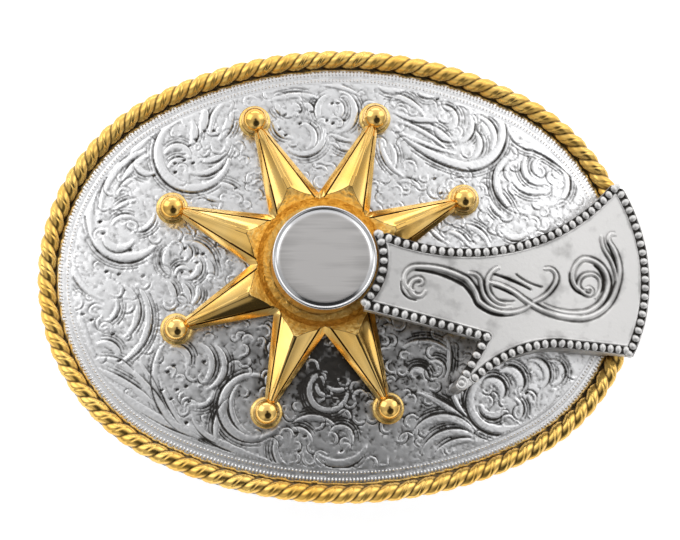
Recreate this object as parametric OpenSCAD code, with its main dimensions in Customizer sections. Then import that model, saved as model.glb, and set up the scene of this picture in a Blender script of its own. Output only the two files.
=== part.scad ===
// Western belt buckle, lying face up on its belt loop and hook.
// X runs along the buckle, Y across it and Z up, out of the engraved face.
// A spur rowel with eight ball-tipped points turns on a post in the middle.

/* [Oval] */
// Half of the length over the rope edge
oval_a = 51; // [46:0.5:56]
// Half of the height over the rope edge
oval_b = 38.2; // [35:0.1:41]
// Radius of the oval's round ends
end_r = 34.3; // [31:0.1:35]

/* [Plate] */
// Thickness of the plate inside the rope edge
plate_t = 2.2; // [1.8:0.1:3]
// Bend radius of the face along the buckle
bend_x = 172; // [150:1:220]
// Bend radius of the face across the buckle
bend_y = 289; // [260:1:400]
// Depth of the ledge that carries the rope
ledge_h = 1; // [0.6:0.1:1.3]
// Clear height between the belt loop's bar and the plate
belt_gap = 6; // [5:0.5:9]

/* [Rope edge] */
// Outer radius of the twisted rope
rope_r = 1.5; // [1.2:0.1:1.8]
// Number of full twists round the oval
rope_turns = 45; // [40:1:50]
// Depth of the groove between the strands, as part of the radius
groove = 0.38; // [0.2:0.02:0.5]

/* [Rowel] */
// Middle of the rowel along X, from the oval's centre
hub_x = -4; // [-6:0.1:-2]
// Middle of the rowel along Y
hub_y = 1.5; // [0:0.1:3]
// Direction of the first point
star_turn = 24; // [20:0.1:28]
// Distance from the hub to the middle of a ball
ball_ring = 26.4; // [25.5:0.1:26.6]
// Radius of a ball
ball_r = 2.2; // [2:0.05:2.3]
// Radius of the collar below a ball
collar_r = 2.65; // [2.4:0.05:2.8]
// Distance from the hub to the notch between two points
notch_r = 11.8; // [11:0.1:12.5]
// Height of a point's ridge at its inner end
ridge_h = 3.9; // [3.4:0.1:4.1]

/* [Hub] */
// Radius of the rowel's bore
bore_r = 3.05; // [3.03:0.01:3.1]
// Running clearance between the post and the bore
bore_play = 0.05; // [0.03:0.01:0.08]
// Radius of the post's head
head_r = 8.5; // [8:0.1:8.7]
// Radius of the silver cap
cap_r = 8.6; // [8.2:0.1:8.8]
// Height of the cap's rim over the middle of the plate
cap_top = 7.5; // [7.3:0.1:8.2]

/* [Shank] */
// Height of the shank's face over the plate, beside the hub
shank_h = 6.8; // [6.7:0.1:7.4]
// Thickness of the shank where it passes over the rowel
shank_t = 2; // [1.6:0.1:2.1]
// Bend radius of the shank's face
shank_bend = 107; // [104:1:112]
// Radius of one bead of the border
bead_r = 0.62; // [0.5:0.02:0.66]
// Distance between two beads
bead_pitch = 1.5; // [1.4:0.05:1.8]
// Height of the raised scroll
scroll_h = 0.35; // [0.2:0.05:0.5]

/* [Back] */
// Radius of the belt loop's wire
loop_r = 1.5; // [1.3:0.1:1.8]
// Distance between the middles of the loop's legs
loop_w = 43; // [42:0.5:45]
// Place of the loop along X
loop_x = 34; // [30:0.5:36]
// Place of the hook's foot along X
hook_x = -38; // [-40:0.5:-34]
// Radius of the hook's peg
hook_r = 1.8; // [1.5:0.1:2.2]
// Outward lean of the peg, in degrees
hook_lean = 20; // [10:1:30]

/* [Hidden] */
gap = 0.05;                 // between a piece and the piece that it sits on
far = 80;                   // longer than any piece is wide
arc_n = 30;                 // steps in a quarter of the oval
points = 8;                 // points of the rowel

// the long sides are arcs of side_r that meet the end arcs without a corner
side_r = (oval_a * oval_a + oval_b * oval_b - 2 * oval_a * end_r)
         / (2 * (oval_b - end_r));
meet = atan2(side_r - oval_b, oval_a - end_r);

// heights: the loop's bar and the hook's tip stand on Z = 0
function drop(x, y) = bend_y - sqrt(pow(bend_y - bend_x
    + sqrt(bend_x * bend_x - x * x), 2) - y * y);
crown = 2 * loop_r + belt_gap + plate_t + drop(loop_x, 0);
shank_end = 52.3;
shift = (oval_a - shank_end) / 2;   // puts the origin under the overall middle

// point of the oval whose outward direction is t, at a distance inside the edge
function oval_at(t, inset) = let (
    q = floor(t / 90), v = t - 90 * q, w = (q % 2 == 0) ? v : 90 - v,
    p = w < meet
        ? [oval_a - end_r + (end_r - inset) * cos(w), (end_r - inset) * sin(w)]
        : [(side_r - inset) * cos(w), oval_b - side_r + (side_r - inset) * sin(w)])
    [(q == 1 || q == 2) ? -p[0] : p[0], q >= 2 ? -p[1] : p[1]];
function oval(inset) = [for (i = [0 : 4 * arc_n - 1]) oval_at(i * 90 / arc_n, inset)];

function arc(c, r, from, to, n) =
    [for (i = [0 : n]) let (t = from + (to - from) * i / n) c + r * [cos(t), sin(t)]];

module column(shape, z0 = 0) {
    translate([0, 0, z0]) linear_extrude(far) polygon(shape);
}

// everything below the domed face, raised or lowered by off
module below_face(off) {
    sweep = 24;
    translate([0, 0, crown - bend_y]) rotate([0, -90, 0]) rotate([0, 0, -sweep / 2])
        rotate_extrude(angle = sweep, $fn = 720) intersection() {
            translate([bend_y - bend_x, 0]) circle(r = bend_x + off, $fn = 720);
            translate([bend_y - 34, -far]) square([50, 2 * far]);
        }
}

// Plate: a domed oval shell with a lower ledge round it for the rope
field_in = 2 * rope_r + 0.1;        // from the rope's outside to the engraved field
rivet_r = 2.2;
seat_z = crown - 0.12;

module buckle_plate() {
    color("silver") translate([shift, 0, 0]) difference() {
        union() {
            intersection() { column(oval(field_in)); below_face(0); }
            intersection() { column(oval(0.3)); below_face(-ledge_h); }
        }
        below_face(-plate_t);
        translate([hub_x, hub_y, 0]) cylinder(r = rivet_r + gap, h = far, $fn = 64);
        translate([hub_x, hub_y, seat_z]) cylinder(r = bore_r + 0.4, h = 5, $fn = 64);
    }
}

// Rope edge: two strands twisted round each other along the oval
rope_lift = rope_r - ledge_h + gap;
rope_sides = 8;
rings = 8 * rope_turns;
end_len = (end_r - rope_r) * meet;              // arc lengths in degree millimetres
side_len = (side_r - rope_r) * (90 - meet);
quarter = end_len + side_len;

// outward direction at the distance s round the rope's centre line
function dir_at(s) = let (q = floor(s / quarter), u = s - q * quarter)
    90 * q + ((q % 2 == 0)
        ? (u < end_len ? u / (end_r - rope_r) : meet + (u - end_len) / (side_r - rope_r))
        : (u < side_len ? u / (side_r - rope_r)
                        : 90 - meet + (u - side_len) / (end_r - rope_r)));
function rope_at(s) = let (p = oval_at(dir_at(s), rope_r))
    [p[0], p[1], crown - drop(p[0], p[1]) + rope_lift];
function strand_r(k) = rope_r * (k % 4 == 2 ? 1 - groove : k % 2 == 1 ? 0.93 : 1);

rope_pts = [for (i = [0 : rings - 1]) let (
        s = 4 * quarter * i / rings, t = dir_at(s), c = rope_at(s),
        twist = 360 * rope_turns * i / rings)
    for (k = [0 : rope_sides - 1]) let (a = twist + 360 * k / rope_sides)
        c + strand_r(k) * [cos(a) * cos(t), cos(a) * sin(t), sin(a)]];
rope_faces = [for (i = [0 : rings - 1]) for (k = [0 : rope_sides - 1]) let (
        j = (i + 1) % rings, m = (k + 1) % rope_sides,
        a = i * rope_sides + k, b = i * rope_sides + m,
        c = j * rope_sides + m, d = j * rope_sides + k)
    each [[a, b, c], [a, c, d]]];

module rope_edge() {
    color("gold") translate([shift, 0, 0])
        polyhedron(points = rope_pts, faces = rope_faces);
}

// Rowel: eight gabled points round a dished middle, a ball on each tip
rowel_z = crown + 0.25;             // under the middle of the rowel
floor_t = 0.75;                     // thickness of the dished floor
step = 360 / points;
tip_r = ball_ring - 1.6;
// corners of half a point: [distance, half width, height over the plate's middle]
tip_edge = [tip_r, 0.95, 0.7];
tip_fold = [tip_r, 0.5, 1.7];
tip_ridge = [tip_r, 0, 1.95];
tip_foot = [tip_r, 0.95, -0.2];
ridge_in = [9, 0, ridge_h + 0.6];
notch_edge = [notch_r, 0, 1.5];
notch_fold = [notch_r - 1, 0, 2.7];
notch_foot = [notch_r, 0, 0.1];

function spot(p, turn, side = 1) = [p[0] * cos(turn) - side * p[1] * sin(turn),
    p[0] * sin(turn) + side * p[1] * cos(turn), crown + p[2]];
star_pts = concat([[0, 0, rowel_z], [0, 0, crown + ridge_h + 0.6]],
    [for (i = [0 : points - 1]) let (a = i * step, n = a + step / 2) each [
        spot(tip_foot, a, -1), spot(tip_edge, a, -1), spot(tip_fold, a, -1),
        spot(tip_ridge, a), spot(tip_fold, a), spot(tip_edge, a), spot(tip_foot, a),
        spot(ridge_in, a), spot(notch_foot, n), spot(notch_edge, n), spot(notch_fold, n)]]);
star_faces = [for (i = [0 : points - 1]) let (
        b = 2 + 11 * i, p = 2 + 11 * ((i + points - 1) % points), nx = 2 + 11 * ((i + 1) % points))
    each [
        // end of the point
        [b, b + 1, b + 6], [b + 1, b + 5, b + 6], [b + 1, b + 2, b + 5],
        [b + 2, b + 4, b + 5], [b + 2, b + 3, b + 4],
        // side walls
        [b + 6, b + 5, b + 8], [b + 5, b + 9, b + 8], [b + 1, b, p + 8], [p + 9, b + 1, p + 8],
        // outer bevels
        [b + 5, b + 4, b + 9], [b + 4, b + 10, b + 9], [b + 2, b + 1, p + 9], [p + 10, b + 2, p + 9],
        // gable either side of the ridge
        [b + 4, b + 3, b + 10], [b + 3, b + 7, b + 10], [b + 3, b + 2, p + 10], [b + 7, b + 3, p + 10],
        // middle, cut away by the dish
        [b + 10, b + 7, nx + 7], [1, nx + 7, b + 7],
        // underside
        [0, b, b + 6], [0, b + 6, b + 8], [0, p + 8, b]]];

module rowel() {
    color("gold") translate([shift + hub_x, hub_y, 0]) rotate(star_turn) difference() {
        union() {
            polyhedron(points = star_pts, faces = star_faces);
            for (i = [0 : points - 1]) rotate(i * step) translate([ball_ring, 0, crown]) {
                translate([0, 0, -0.6]) cylinder(r = collar_r, h = 0.8, $fn = 48);
                translate([0, 0, 0.2]) cylinder(r1 = collar_r, r2 = ball_r - 0.25, h = 0.35, $fn = 48);
                intersection() {
                    translate([0, 0, 0.8]) sphere(r = ball_r, $fn = 48);
                    translate([0, 0, 0.1 + ball_r]) cube(2 * ball_r + 1, center = true);
                }
            }
        }
        translate([0, 0, rowel_z + floor_t])
            cylinder(r1 = notch_r - 1.6, r2 = notch_r + 2.5, h = 5, $fn = 96);
        translate([0, 0, crown - 3]) cylinder(r = bore_r, h = 10, $fn = 64);
    }
}

// Hub: a shouldered post, riveted through the plate, with a round head
head_z = rowel_z + floor_t + 0.25;
cap_seat = cap_top - 1.1;
post_z = crown - drop(hub_x, hub_y) - plate_t;

module hub() {
    color("gold") translate([shift + hub_x, hub_y, 0]) {
        translate([0, 0, post_z + gap]) cylinder(r = rivet_r, h = crown - post_z, $fn = 64);
        translate([0, 0, seat_z]) cylinder(r = bore_r - bore_play, h = 3, $fn = 64);
        translate([0, 0, head_z]) cylinder(r = head_r, h = crown + cap_seat - head_z, $fn = 96);
    }
}

// Hub cap: a flat disc in a rounded rim
rim_r = 0.28;
module hub_cap() {
    color("gainsboro") translate([shift + hub_x, hub_y, crown + cap_seat]) {
        cylinder(r = cap_r - rim_r, h = 0.55, $fn = 96);
        rotate_extrude($fn = 96) translate([cap_r - rim_r, cap_top - cap_seat - rim_r])
            circle(r = rim_r, $fn = 32);
        rotate_extrude($fn = 96) translate([cap_r - 2 * rim_r, 0])
            square([1.7 * rim_r, cap_top - cap_seat - rim_r]);
    }
}

// Spur shank. Rows of the bead border's arcs: [centre x, centre y, radius,
// first angle, last angle, distance from the beads out to the edge, steps]
hub_c = [hub_x, hub_y];
hub_arc = [hub_x, hub_y, 9.75, 25, -49, -0.75, 12];
low_arc = [35.6, -34.4, 22.1, 133, 90, -0.75, 12];
end_arc = [25.05, -0.5, 26.3, -30, 35.3, 0.95, 16];
top_arc = [19.3, 38.45, 36, -42, -113, -0.75, 24];
// ends of the border's straight runs
neck_from = [2.9, -6.25];
neck_to = [22.7, -11.5];
inner_to = [18.9, -17.9];
low_from = [35.6, -12.35];
low_to = [47.3, -13.1];
tip_at = [18.2, -19.1];
tip_size = 1.25;

function edge(row) = [for (i = [0 : row[6] - 1])
    arc([row[0], row[1]], row[2] + row[5], row[3], row[4], row[6])[i]];
shank_line = concat(edge(hub_arc), [neck_from + [-0.5, -0.8], neck_to + [-0.9, -0.55],
    inner_to + [-0.95, -0.3], tip_at + [-0.9, -0.85]], edge(low_arc),
    [low_to + [0.9, -0.85]], edge(end_arc), edge(top_arc));

// beads along an arc and along a straight run, evenly spaced
function bead_arc(row) = let (
        len = abs(row[4] - row[3]) * row[2] * PI / 180, n = round(len / bead_pitch))
    [for (i = [0 : n - 1]) arc([row[0], row[1]], row[2], row[3], row[4], n)[i]];
function bead_line(a, b) = let (n = round(norm(b - a) / bead_pitch))
    [for (i = [0 : n - 1]) a + (b - a) * i / n];
beads = concat(bead_arc(hub_arc), bead_line(neck_from, neck_to), bead_line(neck_to, inner_to),
    bead_arc(low_arc), bead_line(low_from, low_to), bead_arc(end_arc), bead_arc(top_arc));

bead_sink = 0.5;                    // half the height of a bead
bend_from = 5;                      // the face is level here and falls away to the right
function shank_z(x) = crown + shank_h - shank_bend
    + sqrt(pow(shank_bend, 2) - pow(x - bend_from, 2));
module below_shank(off) {
    translate([bend_from, far, crown + shank_h - shank_bend]) rotate([90, 0, 0])
        cylinder(r = shank_bend + off, h = 2 * far, $fn = 720);
}

// Scroll: curls and sweeping stems, each a ribbon whose half width runs from
// its start over its middle to its end, as in thin = [0.2, 0.4, 0.2]
thin = [0.15, 0.4, 0.15];
root = [0.3, 0.5, 0.4];
full = [0.4, 0.55, 0.4];
stroke_n = 10;                      // steps along a stroke

function blend3(w, u) = (1 - u) * (1 - u) * w[0] + 2 * u * (1 - u) * w[1] + u * u * w[2];
// a curl round c, its radius going from r0 to r1 between the angles t0 and t1
function swirl(c, r0, r1, t0, t1, w) = [for (i = [0 : stroke_n]) let (
        u = i / stroke_n, r = r0 + (r1 - r0) * u, t = t0 + (t1 - t0) * u)
    [c[0] + r * cos(t), c[1] + r * sin(t), blend3(w, u)]];
// a stem from a to d that leaves towards b and arrives from c
function sweep(a, b, c, d, w) = [for (i = [0 : stroke_n]) let (
        u = i / stroke_n, v = 1 - u,
        p = v * v * v * a + 3 * v * v * u * b + 3 * v * u * u * c + u * u * u * d)
    [p[0], p[1], blend3(w, u)]];

strokes = [
    // curl beside the hub and the stem that leaves it
    swirl([11.5, -2.5], 0.6, 2.5, 60, -260, root),
    sweep([11, 0], [17, 0.5], [20.5, -1], [21.5, -5], full),
    sweep([21.5, -4.5], [22.5, -8.5], [27, -7.5], [31, -6], full),
    // two leaf lines inside the stem's bend
    sweep([20, -1], [23.5, -1], [20.5, -6], [27, -6.5], thin),
    sweep([25, 0], [22, -0.5], [22, -5.5], [26, -6], thin),
    // long vine, round under the end scroll and up its right side
    sweep([23.5, -2.5], [29, -4.5], [32, -8], [38, -8], full),
    sweep([37.5, -8], [46, -8], [49, -1], [45, 6], full),
    // leaf off the vine
    sweep([31, -5.5], [35, -4.5], [37, -0.5], [33.5, 0], thin),
    // end scroll and the curl inside it
    sweep([32.5, -6], [42, -8.5], [45.5, -4], [44, 0], thin),
    swirl([41, -1.5], 3.4, 2.6, 20, 230, full),
    swirl([41, -2.5], 1.5, 2.2, 220, -60, thin),
    // plume over the end scroll
    sweep([43.5, 6], [44, 2.5], [46.5, 1], [46, -2], thin)];

function side(rows, s) = let (n = len(rows) - 1) [for (i = [0 : n]) let (
        a = rows[max(i - 1, 0)], b = rows[min(i + 1, n)], d = [b[0] - a[0], b[1] - a[1]])
    [rows[i][0], rows[i][1]] + s * rows[i][2] * [-d[1], d[0]] / norm(d)];
function back(list) = [for (i = [len(list) - 1 : -1 : 0]) list[i]];
function ribbon(rows) = concat(side(rows, -1), back(side(rows, 1)));

sweep_r = ball_ring + collar_r + 0.5;   // clear of the turning balls

module spur_shank() {
    color("darkgray") translate([shift, 0, 0]) {
        difference() {
            intersection() { column(shank_line); below_shank(0); }
            difference() {
                below_shank(-shank_t);
                // the end stands on the plate, clear of the rope and the rowel
                difference() {
                    column(shank_line);
                    translate([hub_x, hub_y, 0]) cylinder(r = sweep_r, h = far, $fn = 180);
                    below_face(gap);
                    difference() {
                        below_face(rope_lift + rope_r + 0.2);
                        column(oval(field_in + 0.2));
                    }
                }
            }
        }
        intersection() {
            union() for (rows = strokes) column(ribbon(rows), crown - 5);
            difference() { below_shank(scroll_h); below_shank(-0.5); }
        }
        for (p = beads) translate([p[0], p[1], shank_z(p[0]) - bead_sink])
            cylinder(r1 = bead_r + 0.2, r2 = bead_r - 0.25, h = 2 * bead_sink, $fn = 24);
        translate([tip_at[0], tip_at[1], shank_z(tip_at[0]) - shank_t]) difference() {
            cylinder(r = tip_size, h = shank_t + 0.45, $fn = 32);
            translate([0, 0, shank_t]) cylinder(r = 0.5, h = 1, $fn = 24);
        }
    }
}

// Belt loop: a bent wire that the belt's end folds round
leg_y = loop_w / 2;
turn_r = 2.5;
module belt_loop() {
    color("darkgray") translate([shift + loop_x, 0, 0]) {
        translate([0, turn_r - leg_y, loop_r]) rotate([-90, 0, 0])
            cylinder(r = loop_r, h = loop_w - 2 * turn_r, $fn = 32);
        for (s = [0, 1]) mirror([0, s, 0]) {
            translate([0, leg_y - turn_r, loop_r + turn_r]) rotate([0, 90, 0])
                rotate_extrude(angle = 90, $fn = 64) translate([turn_r, 0]) circle(r = loop_r, $fn = 32);
            translate([-loop_x, 0, 0]) intersection() {
                union() {
                    translate([loop_x, leg_y, loop_r + turn_r]) cylinder(r = loop_r, h = 12, $fn = 32);
                    translate([loop_x, leg_y, crown - drop(loop_x, leg_y) - plate_t - 1])
                        cylinder(r = 2.2, h = 5, $fn = 32);
                }
                below_face(-plate_t - gap);
            }
        }
    }
}

// Belt hook: a leaning peg with a thick foot, its domed tip level with the loop
dome_r = hook_r + 0.8;
hook_z = crown - drop(hook_x, 0) - plate_t;
peg_len = (hook_z - dome_r) / cos(hook_lean);       // from the dome's centre to the plate
foot_len = 3;                                       // along the peg, from the plate
module belt_hook() {
    color("darkgray") translate([shift + hook_x, 0, 0]) intersection() {
        translate([-peg_len * sin(hook_lean), 0, dome_r]) rotate([0, hook_lean, 0]) {
            translate([0, 0, peg_len - foot_len])
                cylinder(r = hook_r + 1.4, h = foot_len + 4, $fn = 96);
            intersection() {
                translate([0, 0, -dome_r]) cylinder(r = hook_r, h = peg_len + dome_r + 3, $fn = 96);
                union() {
                    sphere(r = dome_r, $fn = 96);
                    cylinder(r = dome_r + 1, h = peg_len + 4, $fn = 48);
                }
            }
        }
        translate([-hook_x, 0, 0]) below_face(-plate_t - gap);
    }
}

buckle_plate();
rope_edge();
rowel();
hub();
hub_cap();
spur_shank();
belt_loop();
belt_hook();
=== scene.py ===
import math

import bmesh
import bpy
import numpy as np
from mathutils import Matrix, Vector
from mathutils.geometry import delaunay_2d_cdt


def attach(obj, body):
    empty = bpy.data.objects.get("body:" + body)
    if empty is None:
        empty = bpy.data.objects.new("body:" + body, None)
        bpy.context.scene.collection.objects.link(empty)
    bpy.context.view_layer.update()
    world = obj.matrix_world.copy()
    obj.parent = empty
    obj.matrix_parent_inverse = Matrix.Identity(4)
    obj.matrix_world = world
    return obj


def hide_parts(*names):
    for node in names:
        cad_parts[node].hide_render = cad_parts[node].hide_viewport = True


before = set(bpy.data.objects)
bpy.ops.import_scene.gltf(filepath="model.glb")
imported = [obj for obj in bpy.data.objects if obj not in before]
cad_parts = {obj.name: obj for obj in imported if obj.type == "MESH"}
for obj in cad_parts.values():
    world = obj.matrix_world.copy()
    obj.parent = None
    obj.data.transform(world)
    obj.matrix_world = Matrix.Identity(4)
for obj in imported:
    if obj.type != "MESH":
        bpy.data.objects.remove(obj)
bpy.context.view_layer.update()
mm = 0.001

# Engraved plate. The face of the buckle is a nickel silver blank pressed to a shallow dome, with a
# ledge cut round it for the rope. The scrolls are cut by hand with a graver, the ground between
# them is stippled, and the whole is darkened and polished back.

OVAL_A, OVAL_B, END_R = 51.0, 38.2, 34.3
SIDE_R = (OVAL_A ** 2 + OVAL_B ** 2 - 2 * OVAL_A * END_R) / (2 * (OVAL_B - END_R))
MEET = math.atan2(SIDE_R - OVAL_B, OVAL_A - END_R)
BEND_X, BEND_Y, PLATE_T = 172.0, 289.0, 2.2
LEDGE, LEDGE_T, EDGE_IN = 1.0, 0.25, 0.3
SHIFT = -0.65                  # from the oval's centre to the origin, along X
HUB = np.array([-4.0, 1.5])
FIELD_IN = 3.1                 # from the rope's outside to the engraved field
LOOP_R, BELT_GAP, LOOP_X = 1.5, 6, 34.0    # the belt loop, on which the buckle lies


def drop(x, y):
    """How far the domed face lies under its middle."""
    return BEND_Y - np.sqrt((BEND_Y - BEND_X + np.sqrt(BEND_X ** 2 - x * x)) ** 2 - y * y)


CROWN = 2 * LOOP_R + BELT_GAP + PLATE_T + float(drop(LOOP_X, 0.0))


def inside_by(x, y):
    """How far a point lies inside the buckle's outline."""
    ax, ay = np.abs(x), np.abs(y)
    ex, ey = ax - (OVAL_A - END_R), ay
    at_end = ey * math.cos(MEET) < ex * math.sin(MEET)
    return np.where(at_end, END_R - np.hypot(ex, ey), SIDE_R - np.hypot(ax, ay - OVAL_B + SIDE_R))


def oval_ring(inset, count):
    """Evenly spaced points of the oval, at a distance inside its outline."""
    end, side = (END_R - inset) * MEET, (SIDE_R - inset) * (math.pi / 2 - MEET)
    s = np.arange(count) / count * 4 * (end + side)
    q = np.floor(s / (end + side)).astype(int)
    u = s - q * (end + side)
    u = np.where(q % 2 == 0, u, end + side - u)
    t = np.where(u < end, u / (END_R - inset), MEET + (u - end) / (SIDE_R - inset))
    x = np.where(u < end, OVAL_A - END_R + (END_R - inset) * np.cos(t), (SIDE_R - inset) * np.cos(t))
    y = np.where(u < end, (END_R - inset) * np.sin(t), OVAL_B - SIDE_R + (SIDE_R - inset) * np.sin(t))
    return np.stack([np.where((q == 1) | (q == 2), -x, x), np.where(q >= 2, -y, y)], 1)


def smooth_line(rows, gap=0.25):
    """A smooth line through rows of [x, y, half width], one point every gap or so."""
    rows = np.asarray(rows, float)
    out = []
    for i in range(len(rows) - 1):
        p, q = rows[max(i - 1, 0)], rows[i]
        r, s = rows[i + 1], rows[min(i + 2, len(rows) - 1)]
        steps = max(2, int(np.hypot(*(r - q)[:2]) / gap))
        t = (np.arange(steps) / steps)[:, None]
        out.append(0.5 * (2 * q + (r - p) * t + (2 * p - 5 * q + 4 * r - s) * t ** 2
                          + (3 * q - p - 3 * r + s) * t ** 3))
    return np.vstack(out + [rows[-1:]])


class Relief:
    """Heights over a flat lattice, raised and cut line by line as a graver would."""

    def __init__(self, x0, y0, x1, y1, pitch):
        self.x, self.y = np.arange(x0, x1, pitch), np.arange(y0, y1, pitch)
        self.pitch = pitch
        self.lift = np.zeros((len(self.x), len(self.y)))
        self.cut = np.zeros_like(self.lift)

    def window(self, low, high):
        """The part of the lattice between two corners."""
        i = np.clip(((np.array([low[0], high[0]]) - self.x[0]) / self.pitch).astype(int) + [0, 2],
                    0, len(self.x))
        j = np.clip(((np.array([low[1], high[1]]) - self.y[0]) / self.pitch).astype(int) + [0, 2],
                    0, len(self.y))
        return slice(*i), slice(*j)

    def along(self, pts):
        """For each step of a line: the lattice near it, how far off it lies, and the half width."""
        for a, b in zip(pts[:-1], pts[1:]):
            w = max(a[2], b[2])
            if w <= 0:
                continue
            win = self.window(np.minimum(a, b)[:2] - w, np.maximum(a, b)[:2] + w)
            gx, gy = self.x[win[0]][:, None], self.y[win[1]][None, :]
            dx, dy = b[0] - a[0], b[1] - a[1]
            t = np.clip(((gx - a[0]) * dx + (gy - a[1]) * dy) / max(dx * dx + dy * dy, 1e-9), 0, 1)
            off = np.hypot(gx - a[0] - t * dx, gy - a[1] - t * dy)
            yield win, off, np.maximum(a[2] + t * (b[2] - a[2]), 1e-3)

    def line(self, rows, height, gap=0.25, swell=2.0):
        """Raises a ridge along the rows, flatter with more swell, or cuts a V where height is negative."""
        field = self.lift if height > 0 else self.cut
        for win, d, wide in self.along(smooth_line(rows, gap)):
            if height > 0:
                new = height * np.clip(1 - (d / wide) ** swell, 0, 1) ** 0.8
            else:
                new = -height * np.clip(1 - d / wide, 0, 1) * np.minimum(1, wide / 0.25)
            field[win] = np.maximum(field[win], new)

    def away(self, lines, limit):
        """Distance of every lattice point from the nearest of some lines, up to a limit."""
        field = np.full_like(self.lift, limit)
        for line in lines:
            for win, d, wide in self.along(np.column_stack([line, np.full(len(line), limit)])):
                field[win] = np.minimum(field[win], d)
        return field


def softened(field, reach):
    """The same field with its small forms averaged away."""
    for axis in (0, 1):
        for _ in range(2):
            pad = np.pad(field, [(reach, reach) if k == axis else (0, 0) for k in (0, 1)], "edge")
            total = np.cumsum(pad, axis)
            lead = np.take(total, range(2 * reach, pad.shape[axis]), axis)
            lag = np.concatenate([np.zeros_like(np.take(total, [0], axis)),
                                  np.take(total, range(0, pad.shape[axis] - 2 * reach - 1), axis)], axis)
            field = (lead - lag) / (2 * reach + 1)
    return field


def turned(centre, radius, angle):
    """The point at a distance and an angle from a centre."""
    return [centre[0] + radius * math.cos(angle), centre[1] + radius * math.sin(angle)]


def arcs(x, y, *steps):
    """Points a millimetre or so apart along arcs; each arc is its end's x and y, and its bow to the left."""
    line = [complex(x, y)]
    for end_x, end_y, bow in zip(*[iter(steps)] * 3):
        start, chord = line[-1], complex(end_x, end_y) - line[-1]
        half = 2 * math.atan2(2 * bow, abs(chord)) or 1e-6
        length = abs(chord * half / math.sin(half))
        t = half * np.arange(1, max(3, round(length)) + 1) / max(3, round(length))
        line += list(start + chord * np.exp(1j * (half - t)) * np.sin(t) / math.sin(half))
    return np.array([(p.real, p.imag) for p in line])


HALVED = 9                     # a gap so wide that it only halves the steps between a line's points
LEAF_LOW, LEAF_RISE, LEAF_EDGE = 0.03, 0.052, 3.6
BROAD_DEPTH, INNER_DEPTH, SHADE_DEPTH, ECHO_DEPTH, PIT_DEPTH = 0.17, 0.08, 0.07, 0.15, 0.26
LIFTED, CUT_IN = 0.03, 0.05    # from here on a place counts as raised, or as cut
echoes = []


def leaf(art, width, rows):
    """A leaf of the scrollwork: a tapering ridge, with a broad cut outside its bend and a fine one inside."""
    fine = smooth_line(np.column_stack([rows, rows[:, 0] * 0]), 0.35)
    swell = np.sin(math.pi * (0.08 + 0.86 * np.linspace(0, 1, len(fine)))) ** 0.8
    fine[:, 2] = 0.12 + width * 0.85 * swell
    half = fine[:, 2:3]
    art.line(fine, LEAF_LOW + LEAF_RISE * width, HALVED, LEAF_EDGE)
    way = np.gradient(fine[:, :2], axis=0)
    way /= np.maximum(np.hypot(way[:, 0], way[:, 1]), 1e-6)[:, None]
    bend = np.sum(way[:-1, 0] * way[1:, 1] - way[:-1, 1] * way[1:, 0])
    outward = np.column_stack([-way[:, 1], way[:, 0]]) * (-1 if bend > 0 else 1)

    def beside(off, wide, trim=0):
        """A line that runs beside the leaf, outside its bend where off is positive, with trimmed ends."""
        whole = np.column_stack([fine[:, :2] + outward * off, wide])
        return whole[len(fine) // trim:-len(fine) // trim] if trim else whole

    for side, cut, depth in ((1, 0.08 + 0.26 * width, BROAD_DEPTH), (-1, 0.11, INNER_DEPTH)):
        art.line(beside(side * (half + 0.45 * cut), 0.03 + cut * swell ** 2.2), -depth, HALVED)
    if width >= 0.4:
        # fainter cuts that echo the leaf outside its bend are kept until every leaf is there
        for step, trim in ((0.5, 7), (0.95, 4)):
            echoes.append(beside(half + 0.3 * width + step, 0.05 + 0.12 * swell, trim))
    if width >= 0.45:
        # fine shading cuts run down the wider leaves
        for across, trim in ((0.42, 8), (-0.1, 5), (-0.5, 4)):
            art.line(beside(half * across, 0.1 * swell, trim), -SHADE_DEPTH, HALVED)


face = Relief(x0=-48.75, y0=-36.0, x1=48.75, y1=36.0, pitch=0.15)
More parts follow.
